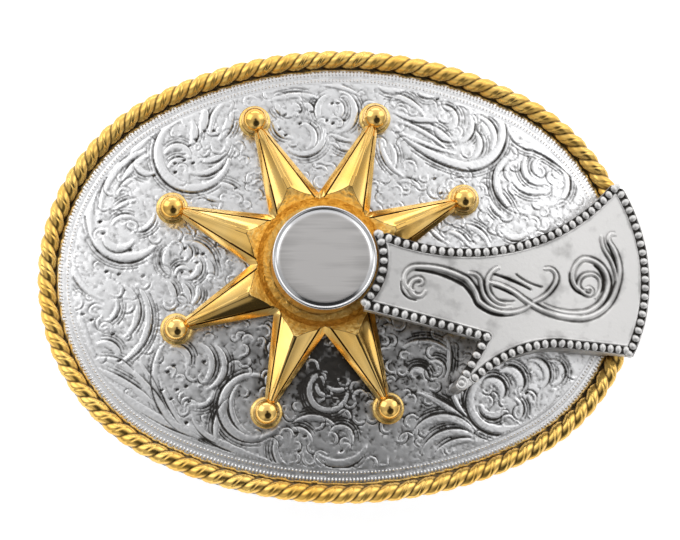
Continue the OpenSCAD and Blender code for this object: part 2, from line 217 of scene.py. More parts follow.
# each leaf: its half width, x and y of its root, then for each arc x, y and the bow to the left
LEAVES = [
    # left end, above the middle
    (0.55, -33, 21.5, -40.5, 11, -2), (0.7, -37, 20.5, -41, 5.5, -3), (0.9, -42, 8, -31.5, 5, -3),
    (0.7, -40, 7, -35, 6, -1.5), (0.5, -34.5, 20, -31.5, 17.5, -1), (0.35, -37.5, 14.5, -34.5, 17, 0.3),
    (0.4, -38, 11.5, -34.5, 13, 0.3), (0.4, -38.5, 9, -34.5, 9.5, 1), (0.4, -35, 8, -31.5, 10.5, -1),
    (0.6, -29, 5, -28, 0, -1.5), (0.5, -27, 5.5, -22, 0, 2), (0.5, -45, 6.5, -40.5, -3.5, -2),
    (0.6, -29, 4.5, -29, 1, -0.7), (0.5, -26.5, 5, -26.5, 2.5, 0.6), (0.5, -25, 3, -26.5, -0.5, 1.5),
    (0.4, -28, 0, -26, 1, 0.8), (0.5, -23, 2.5, -22.5, -1, 0.5), (0.5, -29.5, -1, -28.5, -4.5, 0.4),
    (0.5, -27, -1.5, -26, -4.5, 0.3), (0.4, -24.5, -2, -25.5, -5, 0.5),
    # left end, below the middle
    (0.55, -36.5, -1.5, -36.5, -10, 2), (0.55, -34.5, -1.5, -38, -14.5, 3.5),
    (0.4, -38, -3.5, -40, -7.5, 1), (0.6, -44, -5, -41.5, -13, -0.5), (0.6, -41, -11, -37.5, -13.5, 1),
    (0.4, -41, -13.5, -35, -16.5, 1), (0.5, -41.5, -15, -31.5, -21.5, 0.5),
    (0.6, -35, -16, -29.5, -23.5, 0.2), (0.4, -34, -14.5, -30.5, -21.5, 0.2),
    (0.65, -40.5, -16.5, -21, -27.5, -1.5), (0.6, -30, -11, -24.5, -27, -4),
    (0.4, -31, -16.5, -26.5, -25.5, -0.5), (0.5, -24, -11.5, -24.5, -18.5, 2),
    (0.5, -21.5, -12, -23, -19, 2), (0.5, -29, -12, -26.5, -15.5, 1.5),
    (0.4, -25.5, -21.5, -22, -19.5, -1), (0.6, -21.5, -27.5, -19, -20.5, 1),
    # bottom edge
    (0.7, -14, -17, -11.5, -25.5, -8), (0.4, -18, -18.5, -16, -26.5, -2), (0.6, -26, -25, -13, -31, -0.5),
    (0.4, -25.5, -23.5, -19.5, -28, -1), (0.5, -11, -26.5, -7.5, -32.5, -2.5),
    (0.5, -8.5, -24.5, -2, -25.5, 1), (0.4, -9.5, -26, -6, -28, 1), (0.7, -5, -30, 3, -29, -2),
    (0.45, -3, -27, 0, -29, 2.5), (0.45, -3.5, -16.5, 0, -19, -5.5), (0.4, -3, -19, 0.5, -18, -1),
    (0.35, -5, -18.5, -3.5, -20.5, -0.5), (0.4, -13, -31.5, -1.5, -32.5, -0.5),
    (0.75, 21, -26.5, 11, -27, -2.5), (0.65, 21.5, -27.5, 12.5, -30, -2),
    (0.45, 21.5, -28, 14.5, -30.5, -1), (0.5, 22, -26.5, 12, -20, -0.5),
    (0.35, 20.5, -25.5, 13, -20, -0.5), (0.4, 20, -24, 17.5, -19.5, 0.3),
    (0.35, 21, -23.5, 19.5, -20, 0.3), (0.3, 21.5, -18.5, 20.5, -23, -1),
    # right end, below the shank
    (0.8, 25, -17, 24.5, -26, -4, 35.5, -19.5, -2.5), (0.9, 26, -16.5, 28.5, -20, 2),
    (0.8, 23, -19, 25.5, -21, 2), (0.6, 22.5, -22, 26.5, -22.5, -1.5), (0.4, 28.5, -21, 28.5, -24.5, 1),
    (0.6, 31, -14.5, 33, -19, 2), (0.5, 34.5, -14.5, 35, -18.5, 2), (0.35, 29.5, -26, 40, -17.5, -0.5),
    (0.4, 9.5, -12.5, 17.5, -13.5, 1.5), (0.7, 10.5, -17, 13, -18.5, 1.5),
    (0.4, 14, -15, 15.5, -17.5, 1.5), (0.4, 17, -11, 16.5, -18, 0.5),
    # right end, above the shank
    (0.8, 9, 25, 20, 18.5, -1, 27.5, 24, -2, 22.5, 27.5, -2), (0.4, 9.5, 26, 17.5, 21.5, 0.5),
    (0.35, 10, 24, 19, 20.5, -0.3), (0.45, 12.5, 25.5, 19, 21.5, 1), (0.5, 9, 27.5, 17.5, 26.5, -0.7),
    (0.5, 22.5, 24.5, 21.5, 19.5, 1.5), (0.5, 23.5, 27, 25.5, 21.5, 1.5), (0.5, 22, 27, 20, 22.5, 1),
    (0.5, 16, 28, 18, 24.5, 2.5), (0.5, 19.5, 29, 22, 27.5, 1), (0.5, 16, 25.5, 20, 23.5, -1.5),
    (0.5, 6.5, 32, 11.5, 32.5, -1), (0.5, 7.5, 30.5, 14, 27, 1), (0.4, 13, 32.5, 16.5, 31.5, -1.5),
    (0.6, 28.5, 25.5, 33, 22, -1, 41.5, 15, 1), (0.5, 30, 26, 39, 19.5, 0.5),
    (0.6, 29, 20.5, 31.5, 10.5, -4), (0.35, 29, 19, 28.5, 16, -0.8), (0.5, 31.5, 20, 35, 16, -2),
    (0.5, 34, 20, 34, 17, -1), (0.5, 36.5, 19.5, 35, 12, 3), (0.5, 29, 16, 35, 14.5, -1),
    (0.4, 26, 14.5, 29, 10, 0.2), (0.4, 6.5, 23, 10, 16.5, -1), (0.4, 8, 22, 8.5, 18, 0.5),
    (0.35, 9.5, 15.5, 13, 14, 0.8), (0.4, 17.5, 7, 21, 4.5, 0.6), (0.45, 20, 8, 24.5, 4.5, 1),
    (0.45, 26.5, 14.5, 29, 11, -0.4), (0.4, 25, 12, 27.5, 9.5, -0.2), (0.5, 27, 7, 31.5, 7.5, -1),
    (0.3, 14, 8, 17.5, 5, -0.2),
    # top edge
    (0.8, -27.5, 26.5, -30.5, 19, -1.5, -19, 19.5, -4.5), (0.6, -25, 26, -25.5, 22, 0.5),
    (0.7, -23, 28.5, -24, 24, 0.4), (0.5, -20, 29, -22, 24.5, -0.5), (0.7, -18.5, 27.5, -20.5, 23, 0.3),
    (0.5, -19, 23, -24, 19.5, 1.5), (0.5, -19.5, 20.5, -25.5, 17.5, 1.5),
    (0.5, -29.5, 21, -25.5, 20, 1.5), (0.5, -29, 18.5, -26, 19, 0.8),
    (0.6, -32.5, 20.5, -36.5, 16.5, -0.5), (0.5, -29, 26.5, -36.5, 19, -0.5),
    (0.4, -25.5, 27.5, -30, 25, -0.5), (0.4, -22, 30, -16, 31, 0.2), (0.35, -24, 14, -20, 12.5, -0.3),
    (0.4, -21, 15.5, -17, 13.5, 0.3), (0.55, 0, 31, -0.5, 24, 2.5), (0.5, -2, 30.5, -3, 25.5, -1.5),
    (0.4, -1, 29.5, -1.5, 26.5, 1.3), (0.5, -12, 29.5, -4, 30, 0.7), (0.5, -11, 29, -9, 27, -0.3),
    (0.5, -8, 29, -7.5, 27, 0.4), (0.5, -6, 29, -5, 27.5, 0.2), (0.5, -11.5, 26, -8.5, 23, -0.6),
    (0.45, -7, 25.5, -6, 21, 1.8), (0.5, -9, 21, -3, 24.5, -2.3), (0.35, -1.5, 23.5, 1.5, 22.5, -0.2),
    (0.4, -1.5, 22, 1.5, 21, -0.2), (0.4, -5, 32.5, 3, 30.5, 0.6),
]
# round pits at the eyes of the scrolls
PITS = [
    (-31.5, 17), (-40.5, 9.5), (-40, 7.5), (-39.5, 3.5), (-35.5, 4.5), (-33.5, 0), (-39.5, 1), (-37.5, 0.5),
    (-26.5, 4.5), (-24.5, 3.5), (-23.5, 3.5), (-25.5, 0.5), (-27, 0.5), (-24.5, 2), (-28, 19), (-26.5, 19.5),
    (-28, 17.5), (-25.5, 22), (-24.5, 23), (-23, 24.5), (-21.5, 24.5), (-25, 19), (-18, 14.5), (18, 24.5),
    (16.5, 30), (15.5, 16), (16.5, 13.5), (-38.5, -9.5), (-37.5, -14), (-43.5, -6), (-42, -7), (-29.5, -16),
    (-28.5, -15), (-23.5, -14.5), (-30.5, -19), (-29, -20.5), (-26, -21), (-26.5, -24.5), (-28, -19),
    (-26.5, -18.5), (-8.5, -26.5), (-7, -27), (-8, -29.5), (-1, -29.5), (-4, -21.5), (-1, -18), (-4.5, -17),
    (30.5, -20), (12, -17.5), (-9.5, 27), (-7, 27.5), (-5, 27.5), (-7, 25.5), (-10.5, 24.5), (-9.5, 23.5),
    (-1.5, 25.5), (0.5, 26), (-2.5, 26), (-0.5, 29), (-1.5, 29),
]
for width, *route in LEAVES:
    leaf(face, width, arcs(*route))
so_far = face.cut.copy()
for line in echoes:
    face.line(line, -ECHO_DEPTH, HALVED)
face.cut = np.where(face.lift > LIFTED, so_far, face.cut)
for x, y in PITS:
    face.line([[x - 0.15, y - 0.05, 0.26], [x + 0.2, y + 0.1, 0.22]], -PIT_DEPTH)

# small curls, ticks and dots fill the ground between the leaves
CURLS, TICKS, DOTS, ROUND = 1300, 5200, 3000, 6.28
FIELD_FROM, TICK_DEPTH = 6.0, 0.06
rng = np.random.default_rng(7)
gx, gy = face.x[:, None], face.y[None, :]
deep = inside_by(gx, gy)
field = deep > FIELD_FROM
crowd = softened((face.lift > LIFTED) * 1.0 + (face.cut > CUT_IN) * 1.0, 5)


def anywhere():
    """A random place of the lattice, away from its edges."""
    return rng.integers(4, len(face.x) - 5), rng.integers(4, len(face.y) - 5)


for _ in range(CURLS):
    i, j = anywhere()
    start, hand, r = rng.random() * ROUND, rng.choice([-1, 1]), 0.7 + 0.9 * rng.random()
    if field[i, j] and crowd[i, j] < 0.5:
        c = (face.x[i], face.y[j])
        path = [turned(c, r * (1 - 0.55 * t), start + hand * 3.6 * t) for t in (0, 0.25, 0.5, 0.75, 1)]
        leaf(face, 0.06 + 0.1 * r, np.array(path))
        crowd[max(i - 5, 0):i + 6, max(j - 5, 0):j + 6] += 0.5
for k in range(TICKS + DOTS):
    i, j = anywhere()
    way, w = rng.random() * ROUND, 0.14 + 0.1 * rng.random()
    reach = 0.3 + 0.5 * rng.random() if k < TICKS else 0.05
    if field[i, j] and face.lift[i, j] < 0.04 and face.cut[i, j] < CUT_IN:
        c = (face.x[i], face.y[j])
        face.line([[*c, w], [*turned(c, reach, way), 0.6 * w]], -TICK_DEPTH)

# the border stays plain, but for two thin lines cut on either side of its inner row of beads
LINES_IN, LINE_HALF, LINE_DEPTH, BORDER_TO = (4.62, 5.6), 0.2, 0.05, 5.9
border = np.maximum(*(np.clip(1 - np.abs(deep - at) / LINE_HALF, 0, 1) for at in LINES_IN)) * LINE_DEPTH
face.lift = np.where(deep < BORDER_TO, 0, face.lift)
face.cut = np.where(deep < BORDER_TO, border, np.maximum(face.cut, border))


def soft_patch(x, y, long, wide):
    """A soft-edged oval region of the face, 1 in its middle and 0 far away."""
    return np.exp(-((gx - x) / long) ** 2 - ((gy - y) / wide) ** 2)


# the dark stays in the hollows and cuts, and is polished off the rest in uneven patches
heights = face.lift - face.cut
hollows = np.clip((softened(heights, 4) - heights) / 0.07, 0, 1)
patina = hollows * 0.35 + np.clip(face.cut / 0.08, 0, 1.4) * 0.9
ground = (face.lift < 0.02) & field
speckle = softened(rng.random(heights.shape), 1)
rubbed = np.clip((softened(rng.random(heights.shape), 7) - 0.5) * 9 + 0.5, 0, 1)
# painted shade: the face is darkest in the lower middle, between the points of the star that reach down to
# the lower edge
painted_shade_low = soft_patch(-3, -15.5, 16, 9.5)
# the dark in the cuts and hollows varies in random patches, and painted shade deepens it in the lower middle
# and under the shank's lower edge
held_and_shaded = 0.32 + 0.45 * rubbed + 0.32 * soft_patch(-5, -20, 22, 15) + 0.35 * soft_patch(18, -22, 20, 11)
patina = patina * held_and_shaded + ground * (0.1 + 0.62 * painted_shade_low + 1.5 * (speckle - 0.5)) + 0.1 * painted_shade_low
patina = np.clip(0.5 * softened(patina, 1) + 0.5 * patina, 0, 1)


def sample(grid, relief, x, y):
    """Value of a lattice field at any points, blended between its four neighbours."""
    u = np.clip((x - relief.x[0]) / relief.pitch, 0, len(relief.x) - 1.001)
    v = np.clip((y - relief.y[0]) / relief.pitch, 0, len(relief.y) - 1.001)
    i, j = u.astype(int), v.astype(int)
    a, b = u - i, v - j
    return ((grid[i, j] * (1 - b) + grid[i, j + 1] * b) * (1 - a)
            + (grid[i + 1, j] * (1 - b) + grid[i + 1, j + 1] * b) * a)


def fine_points(relief, heights, keep, budget):
    """Lattice points for a triangulation: all where the relief turns, few where it is flat."""
    turn = np.zeros_like(heights)
    turn[1:-1, 1:-1] = np.abs(heights[2:, 1:-1] + heights[:-2, 1:-1] + heights[1:-1, 2:]
                              + heights[1:-1, :-2] - 4 * heights[1:-1, 1:-1])
    i, j = np.meshgrid(np.arange(len(relief.x)), np.arange(len(relief.y)), indexing="ij")
    coarse, middle = (i % 4 == 0) & (j % 4 == 0), (i % 2 == 0) & (j % 2 == 0)
    busy = softened(turn, 1)
    chosen = (coarse | (middle & (busy > np.quantile(busy[keep], 0.25)))) & keep
    rest = keep & ~chosen
    spare = max(0, budget - int(chosen.sum()))
    order = np.sort(turn[rest])[::-1]
    limit = order[min(spare, len(order) - 1)]
    chosen |= rest & (turn > limit)
    return np.stack([relief.x[i[chosen]], relief.y[j[chosen]]], 1)


def triangles(points, edges=()):
    """Triangles between points in the plane, with any edges that they have to keep."""
    got = delaunay_2d_cdt([Vector(p) for p in points.tolist()], list(edges), [], 0, 1e-7, False)
    return np.array(got[0])[:, :2], np.array([f for f in got[2] if len(f) == 3])


def facing_up(points, faces):
    """The same triangles, turned to face up, without those that have no area."""
    a, b, c = (points[faces[:, k]] for k in range(3))
    turn = (b[:, 0] - a[:, 0]) * (c[:, 1] - a[:, 1]) - (b[:, 1] - a[:, 1]) * (c[:, 0] - a[:, 0])
    faces = faces.copy()
    faces[turn < 0] = faces[turn < 0][:, ::-1]
    return faces[np.abs(turn) > 1e-9]


def placed(name, data):
    """A new object in the scene."""
    made = bpy.data.objects.new(name, data)
    bpy.context.scene.collection.objects.link(made)
    return made


def solid(name, verts, faces):
    """A smooth mesh in metres from points in millimetres, given from the oval's centre."""
    mesh = bpy.data.meshes.new(name)
    verts = np.asarray(verts, float) + [SHIFT, 0, 0]
    mesh.from_pydata((verts * mm).tolist(), [], [tuple(map(int, f)) for f in faces])
    mesh.validate()
    mesh.polygons.foreach_set("use_smooth", [True] * len(mesh.polygons))
    return placed(name, mesh)


def marked(piece, label, domain, values):
    """Notes a number for each point or face of a piece, for its finish to read."""
    piece.data.attributes.new(label, "FLOAT", domain).data.foreach_set("value", values)


RIM_N, HOLE_N, HOLE_R = 720, 48, 2.25
SEAT_R, SEAT_DOWN, FIELD_DOWN = 3.6, 0.14, 0.12
SHOWN_POINTS = 91000           # keeps the plate under 200,000 triangles
UNDER_CAP_R, UNDER_ARM_R = 10.6, 20
ARM_X, ARM_Y = 25.05, -0.5     # the middle of the arc that ends the shank


def off_hub(points):
    """How far each point lies from the middle of the hub."""
    return np.hypot(*(points - HUB).T)


def on_face(points, off):
    """Points on the domed face, or over it by some height."""
    return np.column_stack([points, CROWN - drop(points[:, 0], points[:, 1]) + off])


def lattice(x0, x1, y0, y1, gap):
    """Points of a coarse square lattice."""
    xs, ys = np.meshgrid(np.arange(x0, x1, gap), np.arange(y0, y1, gap), indexing="ij")
    return np.column_stack([xs.ravel(), ys.ravel()])


def sheet(points):
    """Triangles of the plate between its points, facing up, with the rivet's hole left open."""
    xy, faces = triangles(points)
    faces = facing_up(xy, faces)
    return xy, faces[off_hub(xy[faces].mean(1)) > HOLE_R * 0.99]


def belt(first, second, count):
    """Triangles between two closed rings of as many points, by the numbers of their first points."""
    k = np.arange(count)
    m = (k + 1) % count
    lower = np.stack([first + k, second + k, second + m], 1)
    return np.vstack([lower, np.stack([first + k, second + m, first + m], 1)])


rim, outer = oval_ring(FIELD_IN, RIM_N), oval_ring(EDGE_IN, RIM_N)
hole = np.array([turned(HUB, HOLE_R, 2 * math.pi * k / HOLE_N) for k in range(HOLE_N)])
from_hub = np.hypot(gx - HUB[0], gy - HUB[1])
keep = (deep > FIELD_IN + 0.12) & (from_hub > HOLE_R + 0.2)
# the middle and the ground under the shank are never seen, so they get few points
under_arm = (gx > 25) & (gy > -8) & (gy < 4.5) & (np.hypot(gx - ARM_X, gy - ARM_Y) < UNDER_ARM_R)
hidden = (from_hub < UNDER_CAP_R) | under_arm
shown = np.where(hidden, 0, heights)
few = np.zeros_like(keep)
few[::8, ::8] = (keep & hidden)[::8, ::8]
i, j = np.nonzero(few)
top_pts = fine_points(face, shown, keep & ~hidden, SHOWN_POINTS)
top_xy, top_f = sheet(np.vstack([rim, hole, top_pts, np.stack([face.x[i], face.y[j]], 1)]))
top_z = CROWN - drop(*top_xy.T) + sample(shown, face, *top_xy.T)
top_z = np.where(off_hub(top_xy) < SEAT_R, CROWN - SEAT_DOWN, top_z)
top_z = np.where(inside_by(*top_xy.T) < FIELD_IN + 0.05, CROWN - drop(*top_xy.T) - FIELD_DOWN, top_z)
inner = lattice(x0=-48, x1=49, y0=-36, y1=37, gap=2.4)
inner = inner[(inside_by(*inner.T) > 1.2) & (off_hub(inner) > HOLE_R + 1)]
back_xy, back_f = sheet(np.vstack([outer, hole, inner]))

top = np.column_stack([top_xy, top_z])
verts = np.vstack([top, on_face(rim, -LEDGE), on_face(outer, -LEDGE), on_face(outer, -LEDGE - LEDGE_T),
                   on_face(back_xy, -PLATE_T)])
rings = [0, *(len(top) + k * RIM_N for k in range(4))]
back_at = rings[-1]
faces = np.vstack([top_f, *(belt(a, b, RIM_N) for a, b in zip(rings[:-1], rings[1:])),
                   back_f[:, ::-1] + back_at, belt(back_at + RIM_N, RIM_N, HOLE_N)])
plate = solid("engraved_plate", verts, faces)
plate.data.polygons.foreach_set("use_smooth", [k < len(top_f) for k in range(len(faces))])
tone = np.zeros(len(verts))
tone[:len(top)] = sample(np.where(hidden, 0.2, patina), face, *top_xy.T)
tone[len(top):back_at] = 0.55
tone[back_at:] = 0.25
marked(plate, "patina", "POINT", tone)


def finish_of(name):
    """A new material with its node tree and shader."""
    material = bpy.data.materials.new(name)
    material.use_nodes = True
    tree = material.node_tree
    return material, tree, tree.nodes["Principled BSDF"]


def feed(tree, node, inputs):
    """Gives a node's sockets values or links; a node given as a value stands for its first output."""
    for key, value in inputs.items():
        if isinstance(value, bpy.types.Node):
            value = value.outputs[0]
        if isinstance(value, bpy.types.NodeSocket):
            tree.links.new(value, node.inputs[key])
        else:
            node.inputs[key].default_value = value


def wire(tree, kind, inputs=None, **settings):
    """Adds a node, sets it up and feeds it."""
    made = tree.nodes.new(kind)
    for key, value in settings.items():
        setattr(made, key, value)
    feed(tree, made, inputs or {})
    return made


def worked(tree, operation, *values, **settings):
    """A number worked out from one or two others."""
    return wire(tree, "ShaderNodeMath", dict(enumerate(values)), operation=operation, **settings)


def ranged(tree, value, low, high, start, end, **settings):
    """A number carried over from one range into another."""
    return wire(tree, "ShaderNodeMapRange", {"Value": value, "From Min": low, "From Max": high,
                                             "To Min": start, "To Max": end}, **settings)


def noise(tree, place, scale, detail):
    """A cloudy pattern, finer with more scale."""
    return wire(tree, "ShaderNodeTexNoise", {"Vector": place, "Scale": scale, "Detail": detail})


def noted(tree, label):
    """The number that a piece carries under a label."""
    return wire(tree, "ShaderNodeAttribute", attribute_name=label).outputs["Fac"]


def tinted(tree, by, low, low_at, high, high_at):
    """A blend from one colour to another, between two values of a number."""
    made = wire(tree, "ShaderNodeValToRGB", {"Fac": by})
    first, last = made.color_ramp.elements
    first.color, first.position = (*low, 1), low_at
    last.color, last.position = (*high, 1), high_at
    return made


def bumped(tree, pattern, strength, depth, **under):
    """Small bumps from a pattern, over any bumps already there."""
    return wire(tree, "ShaderNodeBump", {"Height": pattern, "Strength": strength, "Distance": depth, **under})


def silver_finish(name, bright, dark, smooth, rough, grain, depth, mottle, cloud_scale):
    """Polished silver with darkened cuts: the patina attribute says where the dark stays."""
    material, tree, shader = finish_of(name)
    place = wire(tree, "ShaderNodeTexCoord").outputs["Object"]
    uneven = ranged(tree, noise(tree, place, cloud_scale, 6.0), 0.35, 0.7, -0.5 * mottle, mottle)
    mask = worked(tree, "ADD", noted(tree, "patina"), uneven, use_clamp=True)
    feed(tree, shader, {"Base Color": tinted(tree, mask, bright, 0.12, dark, 0.8),
                        "Roughness": ranged(tree, mask, 0.0, 1.0, smooth, rough),
                        "Normal": bumped(tree, noise(tree, place, grain, 3.0), 0.35, depth),
                        "Metallic": 1.0})
    return material


engraved = silver_finish("engraved_silver", bright=(0.93, 0.93, 0.94), dark=(0.06, 0.056, 0.052), smooth=0.3,
                         rough=0.5, grain=2600, depth=0.00003, mottle=0.05, cloud_scale=420.0)
plate.data.materials.append(engraved)
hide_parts("buckle_plate")
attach(plate, "buckle")

# Beaded border. Two rows pressed into the edge of the face: upright ticks beside the rope, and a row
# of smaller beads further in. They are part of the same silver sheet and lie half sunk in it.


def tree_of(name, **inputs):
    """A new geometry tree with a geometry in and out, and named inputs of the given kinds."""
    tree = bpy.data.node_groups.new(name, "GeometryNodeTree")
    for label, kind in {"Guide": "Geometry", **inputs}.items():
        tree.interface.new_socket(label, in_out="INPUT", socket_type="NodeSocket" + kind)
    tree.interface.new_socket("Piece", in_out="OUTPUT", socket_type="NodeSocketGeometry")
    return tree, tree.nodes.new("NodeGroupInput").outputs


def guide_curve(tree, given):
    """The guide as a curve whose normals point up."""
    line = wire(tree, "GeometryNodeMeshToCurve", {"Mesh": given["Guide"]})
    return wire(tree, "GeometryNodeSetCurveNormal", {"Curve": line}, mode="Z_UP")


def finished(tree, given, shape):
    """Ends a tree in one real, smooth mesh of the given finish."""
    real = wire(tree, "GeometryNodeRealizeInstances", {"Geometry": shape})
    smooth = wire(tree, "GeometryNodeSetShadeSmooth", {0: real})
    done = wire(tree, "GeometryNodeSetMaterial", {"Geometry": smooth, "Material": given["Finish"]})
    wire(tree, "NodeGroupOutput", {"Piece": done})
    return tree


def settled(made, name, *helpers):
    """The object with its modifiers worked in, as a new plain object."""
    mesh = bpy.data.meshes.new_from_object(made.evaluated_get(bpy.context.evaluated_depsgraph_get()))
    mesh.name = name
    for old in (made, *helpers):
        old.modifiers.clear()
        bpy.data.objects.remove(old)
    return placed(name, mesh)


def grown(name, tree, points, closed, values):
    """Runs a tree along lines of points and keeps the result as a plain mesh."""
    mesh = bpy.data.meshes.new(name + "_guide")
    rows, edges = [], []
    for line in points:
        n, first = len(line), len(rows)
        edges += [(first + k, first + (k + 1) % n) for k in range(n if closed else n - 1)]
        rows += ((np.asarray(line) + [SHIFT, 0, 0]) * mm).tolist()
    mesh.from_pydata(rows, edges, [])
    guide = placed(name + "_guide", mesh)
    live = guide.modifiers.new(name, "NODES")
    live.node_group = tree
    for item in tree.interface.items_tree:
        if item.name in values:
            live[item.identifier] = values[item.name]
    return settled(guide, name)


def bead_tree(name):
    """Beads set along a line, each as long, wide and high as its numbers say."""
    tree, given = tree_of(name, Pitch="Float", Size="Vector", Roundness="Int", Finish="Material")
    spots = wire(tree, "GeometryNodeCurveToPoints",
                 {"Curve": guide_curve(tree, given), "Length": given["Pitch"]}, mode="LENGTH")
    ball = wire(tree, "GeometryNodeMeshIcoSphere", {"Radius": 1.0, "Subdivisions": given["Roundness"]})
    shaped = wire(tree, "GeometryNodeTransform", {"Geometry": ball, "Scale": given["Size"]})
    turn = wire(tree, "FunctionNodeAlignRotationToVector", {"Vector": spots.outputs["Tangent"]},
                axis="X", pivot_axis="Z")
    return finished(tree, given, wire(tree, "GeometryNodeInstanceOnPoints",
                                      {"Points": spots, "Instance": shaped, "Rotation": turn}))


BORDER_PITCH = 0.6
border_row = bead_tree("border_row")
for label, inset, size in (("outer_beads", 3.95, (0.2, 0.5, 0.1)), ("inner_beads", 5.1, (0.17, 0.27, 0.1))):
    row = grown(label, border_row, [on_face(oval_ring(inset, RIM_N), 0.0)], True,
                {"Pitch": BORDER_PITCH * mm, "Size": tuple(v * mm for v in size), "Roundness": 1,
                 "Finish": engraved})
    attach(row, "buckle")

# Rope edge. Two strands of gold wire twisted round each other, each with a fine groove down its
# middle, laid on the ledge right round the plate and soldered there.

ROPE_R, ROPE_GAP, TURNS, RINGS_A_TURN = 1.5, 0.05, 45, 24
ROPE_UP = ROPE_R - LEDGE + ROPE_GAP
FULL_R, STRAND = 1.57, 0.76    # the strands press a little into the face; a strand's share of the rope


def mixed(tree, by, one, two):
    """One colour turning into another as a number goes from 0 to 1."""
    return wire(tree, "ShaderNodeMix", {0: by, 6: one, 7: two}, data_type="RGBA").outputs[2]


def gold_finish(name, bright, deep, rough, wear, grain_depth):
    """Polished gold, a little deeper in colour and rougher in soft patches."""
    material, tree, shader = finish_of(name)
    place = wire(tree, "ShaderNodeTexCoord").outputs["Object"]
    patch, grain, lumps = (noise(tree, place, scale, detail)
                           for scale, detail in ((160.0, 3.0), (2600.0, 2.0), (1300.0, 4.0)))
    # the patina attribute marks what no polishing wheel reaches: left rough as it was cast
    cast = noted(tree, "patina")
    polished = tinted(tree, patch, deep, 0.3, bright, 0.62)
    dull = tinted(tree, lumps, (0.76, 0.50, 0.15), 0.34, (1.0, 0.74, 0.28), 0.62)
    metal = mixed(tree, cast, polished, dull)
    rougher = worked(tree, "ADD", ranged(tree, patch, 0.3, 0.7, rough + wear, rough),
                     worked(tree, "MULTIPLY", cast, 0.25))
    ground_down = bumped(tree, grain, 0.3, grain_depth)
    # painted shade: where a piece marks its grooves and creases, the gold is painted near black
    feed(tree, shader, {"Base Color": mixed(tree, noted(tree, "crease_shade"), metal, (0.10, 0.055, 0.02, 1)),
                        "Roughness": rougher,
                        "Normal": bumped(tree, lumps, cast, 0.0002, Normal=ground_down),
                        "Metallic": 1.0})
    return material


def rope_tree(name):
    """Twists a profile of two round strands as it follows the guide."""
    tree, given = tree_of(name, Turns="Float", Radius="Float", Strand="Float", Finish="Material")
    angle = worked(tree, "MULTIPLY", wire(tree, "GeometryNodeSplineParameter"), given["Turns"])
    tilt = worked(tree, "MULTIPLY", angle, 2 * math.pi)
    twisted = wire(tree, "GeometryNodeSetCurveTilt", {"Curve": guide_curve(tree, given), "Tilt": tilt})
    ring = wire(tree, "GeometryNodeCurvePrimitiveCircle", {"Resolution": 32, "Radius": 1.0})
    place = wire(tree, "GeometryNodeInputPosition")
    part = wire(tree, "ShaderNodeSeparateXYZ", {0: place}).outputs
    # two overlapping circles: apart * |cos| + root(strand^2 - apart^2 sin^2)
    apart = worked(tree, "SUBTRACT", 1.0, given["Strand"])
    cos, sin = worked(tree, "ABSOLUTE", part["X"]), worked(tree, "MULTIPLY", part["Y"], apart)
    under = worked(tree, "SUBTRACT", worked(tree, "POWER", given["Strand"], 2.0),
                   worked(tree, "POWER", sin, 2.0))
    reach = worked(tree, "ADD", worked(tree, "MULTIPLY", cos, apart), worked(tree, "SQRT", under))
    groove = ranged(tree, worked(tree, "ABSOLUTE", part["Y"]), 0.0, 0.26, 0.1, 0.0)
    size = worked(tree, "MULTIPLY", worked(tree, "SUBTRACT", reach, groove), given["Radius"])
    moved = wire(tree, "ShaderNodeVectorMath", {0: place, "Scale": size}, operation="SCALE")
    # painted shade: the valleys between the strands are painted black
    crease_shaded = wire(tree, "GeometryNodeStoreNamedAttribute",
                 {"Geometry": ring, "Name": "crease_shade", "Value": ranged(tree, cos, 0.08, 0.34, 0.95, 0.0)},
                 data_type="FLOAT", domain="POINT")
    profile = wire(tree, "GeometryNodeSetPosition", {"Geometry": crease_shaded, "Position": moved})
    return finished(tree, given, wire(tree, "GeometryNodeCurveToMesh",
                                      {"Curve": twisted, "Profile Curve": profile}))


rope_gold = gold_finish("rope_gold", bright=(0.96, 0.63, 0.18), deep=(0.93, 0.54, 0.11), rough=0.24, wear=0.1,
                        grain_depth=0.00002)
rope_line = on_face(oval_ring(ROPE_R, TURNS * RINGS_A_TURN), ROPE_UP)
rope = grown("rope_edge_wire", rope_tree("rope_twist"), [rope_line], True,
             {"Turns": -float(TURNS), "Radius": FULL_R * mm, "Strand": STRAND, "Finish": rope_gold})
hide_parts("rope_edge")
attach(rope, "buckle")

# Rowel. A spur's star wheel, cast in brass, ground to gabled points with a ball on each tip, and
# gold plated. It turns on the hub, in a shallow dish under the cap.

POINTS, FIRST_TURN, BALL_RING, BALL_R, COLLAR_R = 8, math.radians(24), 26.4, 2.2, 2.65
STEP = 2 * math.pi / POINTS
NOTCH, TIP, CREST_IN, UNDER_UP = 11.8, 24.8, 9, 0.25
TIP_UP, CREST_UP, FLAT_TIP, FLAT_IN = 1.95, 4.5, 0.1, 0.4     # the flat crest of each point
# lines along a flank: across and up at the tip, then how far inside the notch and how far up there
FOOT, EDGE, BAND = (0.95, -0.2, 0, 0.1), (0.95, 0.7, 0, 1.5), (0.53, 1.4, 1.9, 2.6)
DITCH, FOLD = (0.42, 1.25, 2.1, 2.4), (0.3, 1.6, 2.3, 2.75)
DISH = [(0, 1.0), (8.9, 1.0), (9.7, 1.2), (10.3, 1.65), (10.8, 2.3), (14.9, 4.7), (14.9, 6.0), (0, 6.0)]
DISH_R, BORE_R, BEVEL, BALL_UP, COLLAR_UP, BALL_FOOT_R = 13.5, 3.05, 0.07, 0.8, 0.62, 2.1
# how dark the painted shade is at the balls' feet, round the dish and in the ditches; then how much of the
# collars is left as cast
SHADE_AT_BALL_FOOT, SHADE_ROUND_DISH, SHADE_IN_DITCH, CAST_COLLAR = 0.7, 0.85, 0.75, 0.7
ALONG, ACROSS, HOLLOW = 10, 6, 0.075


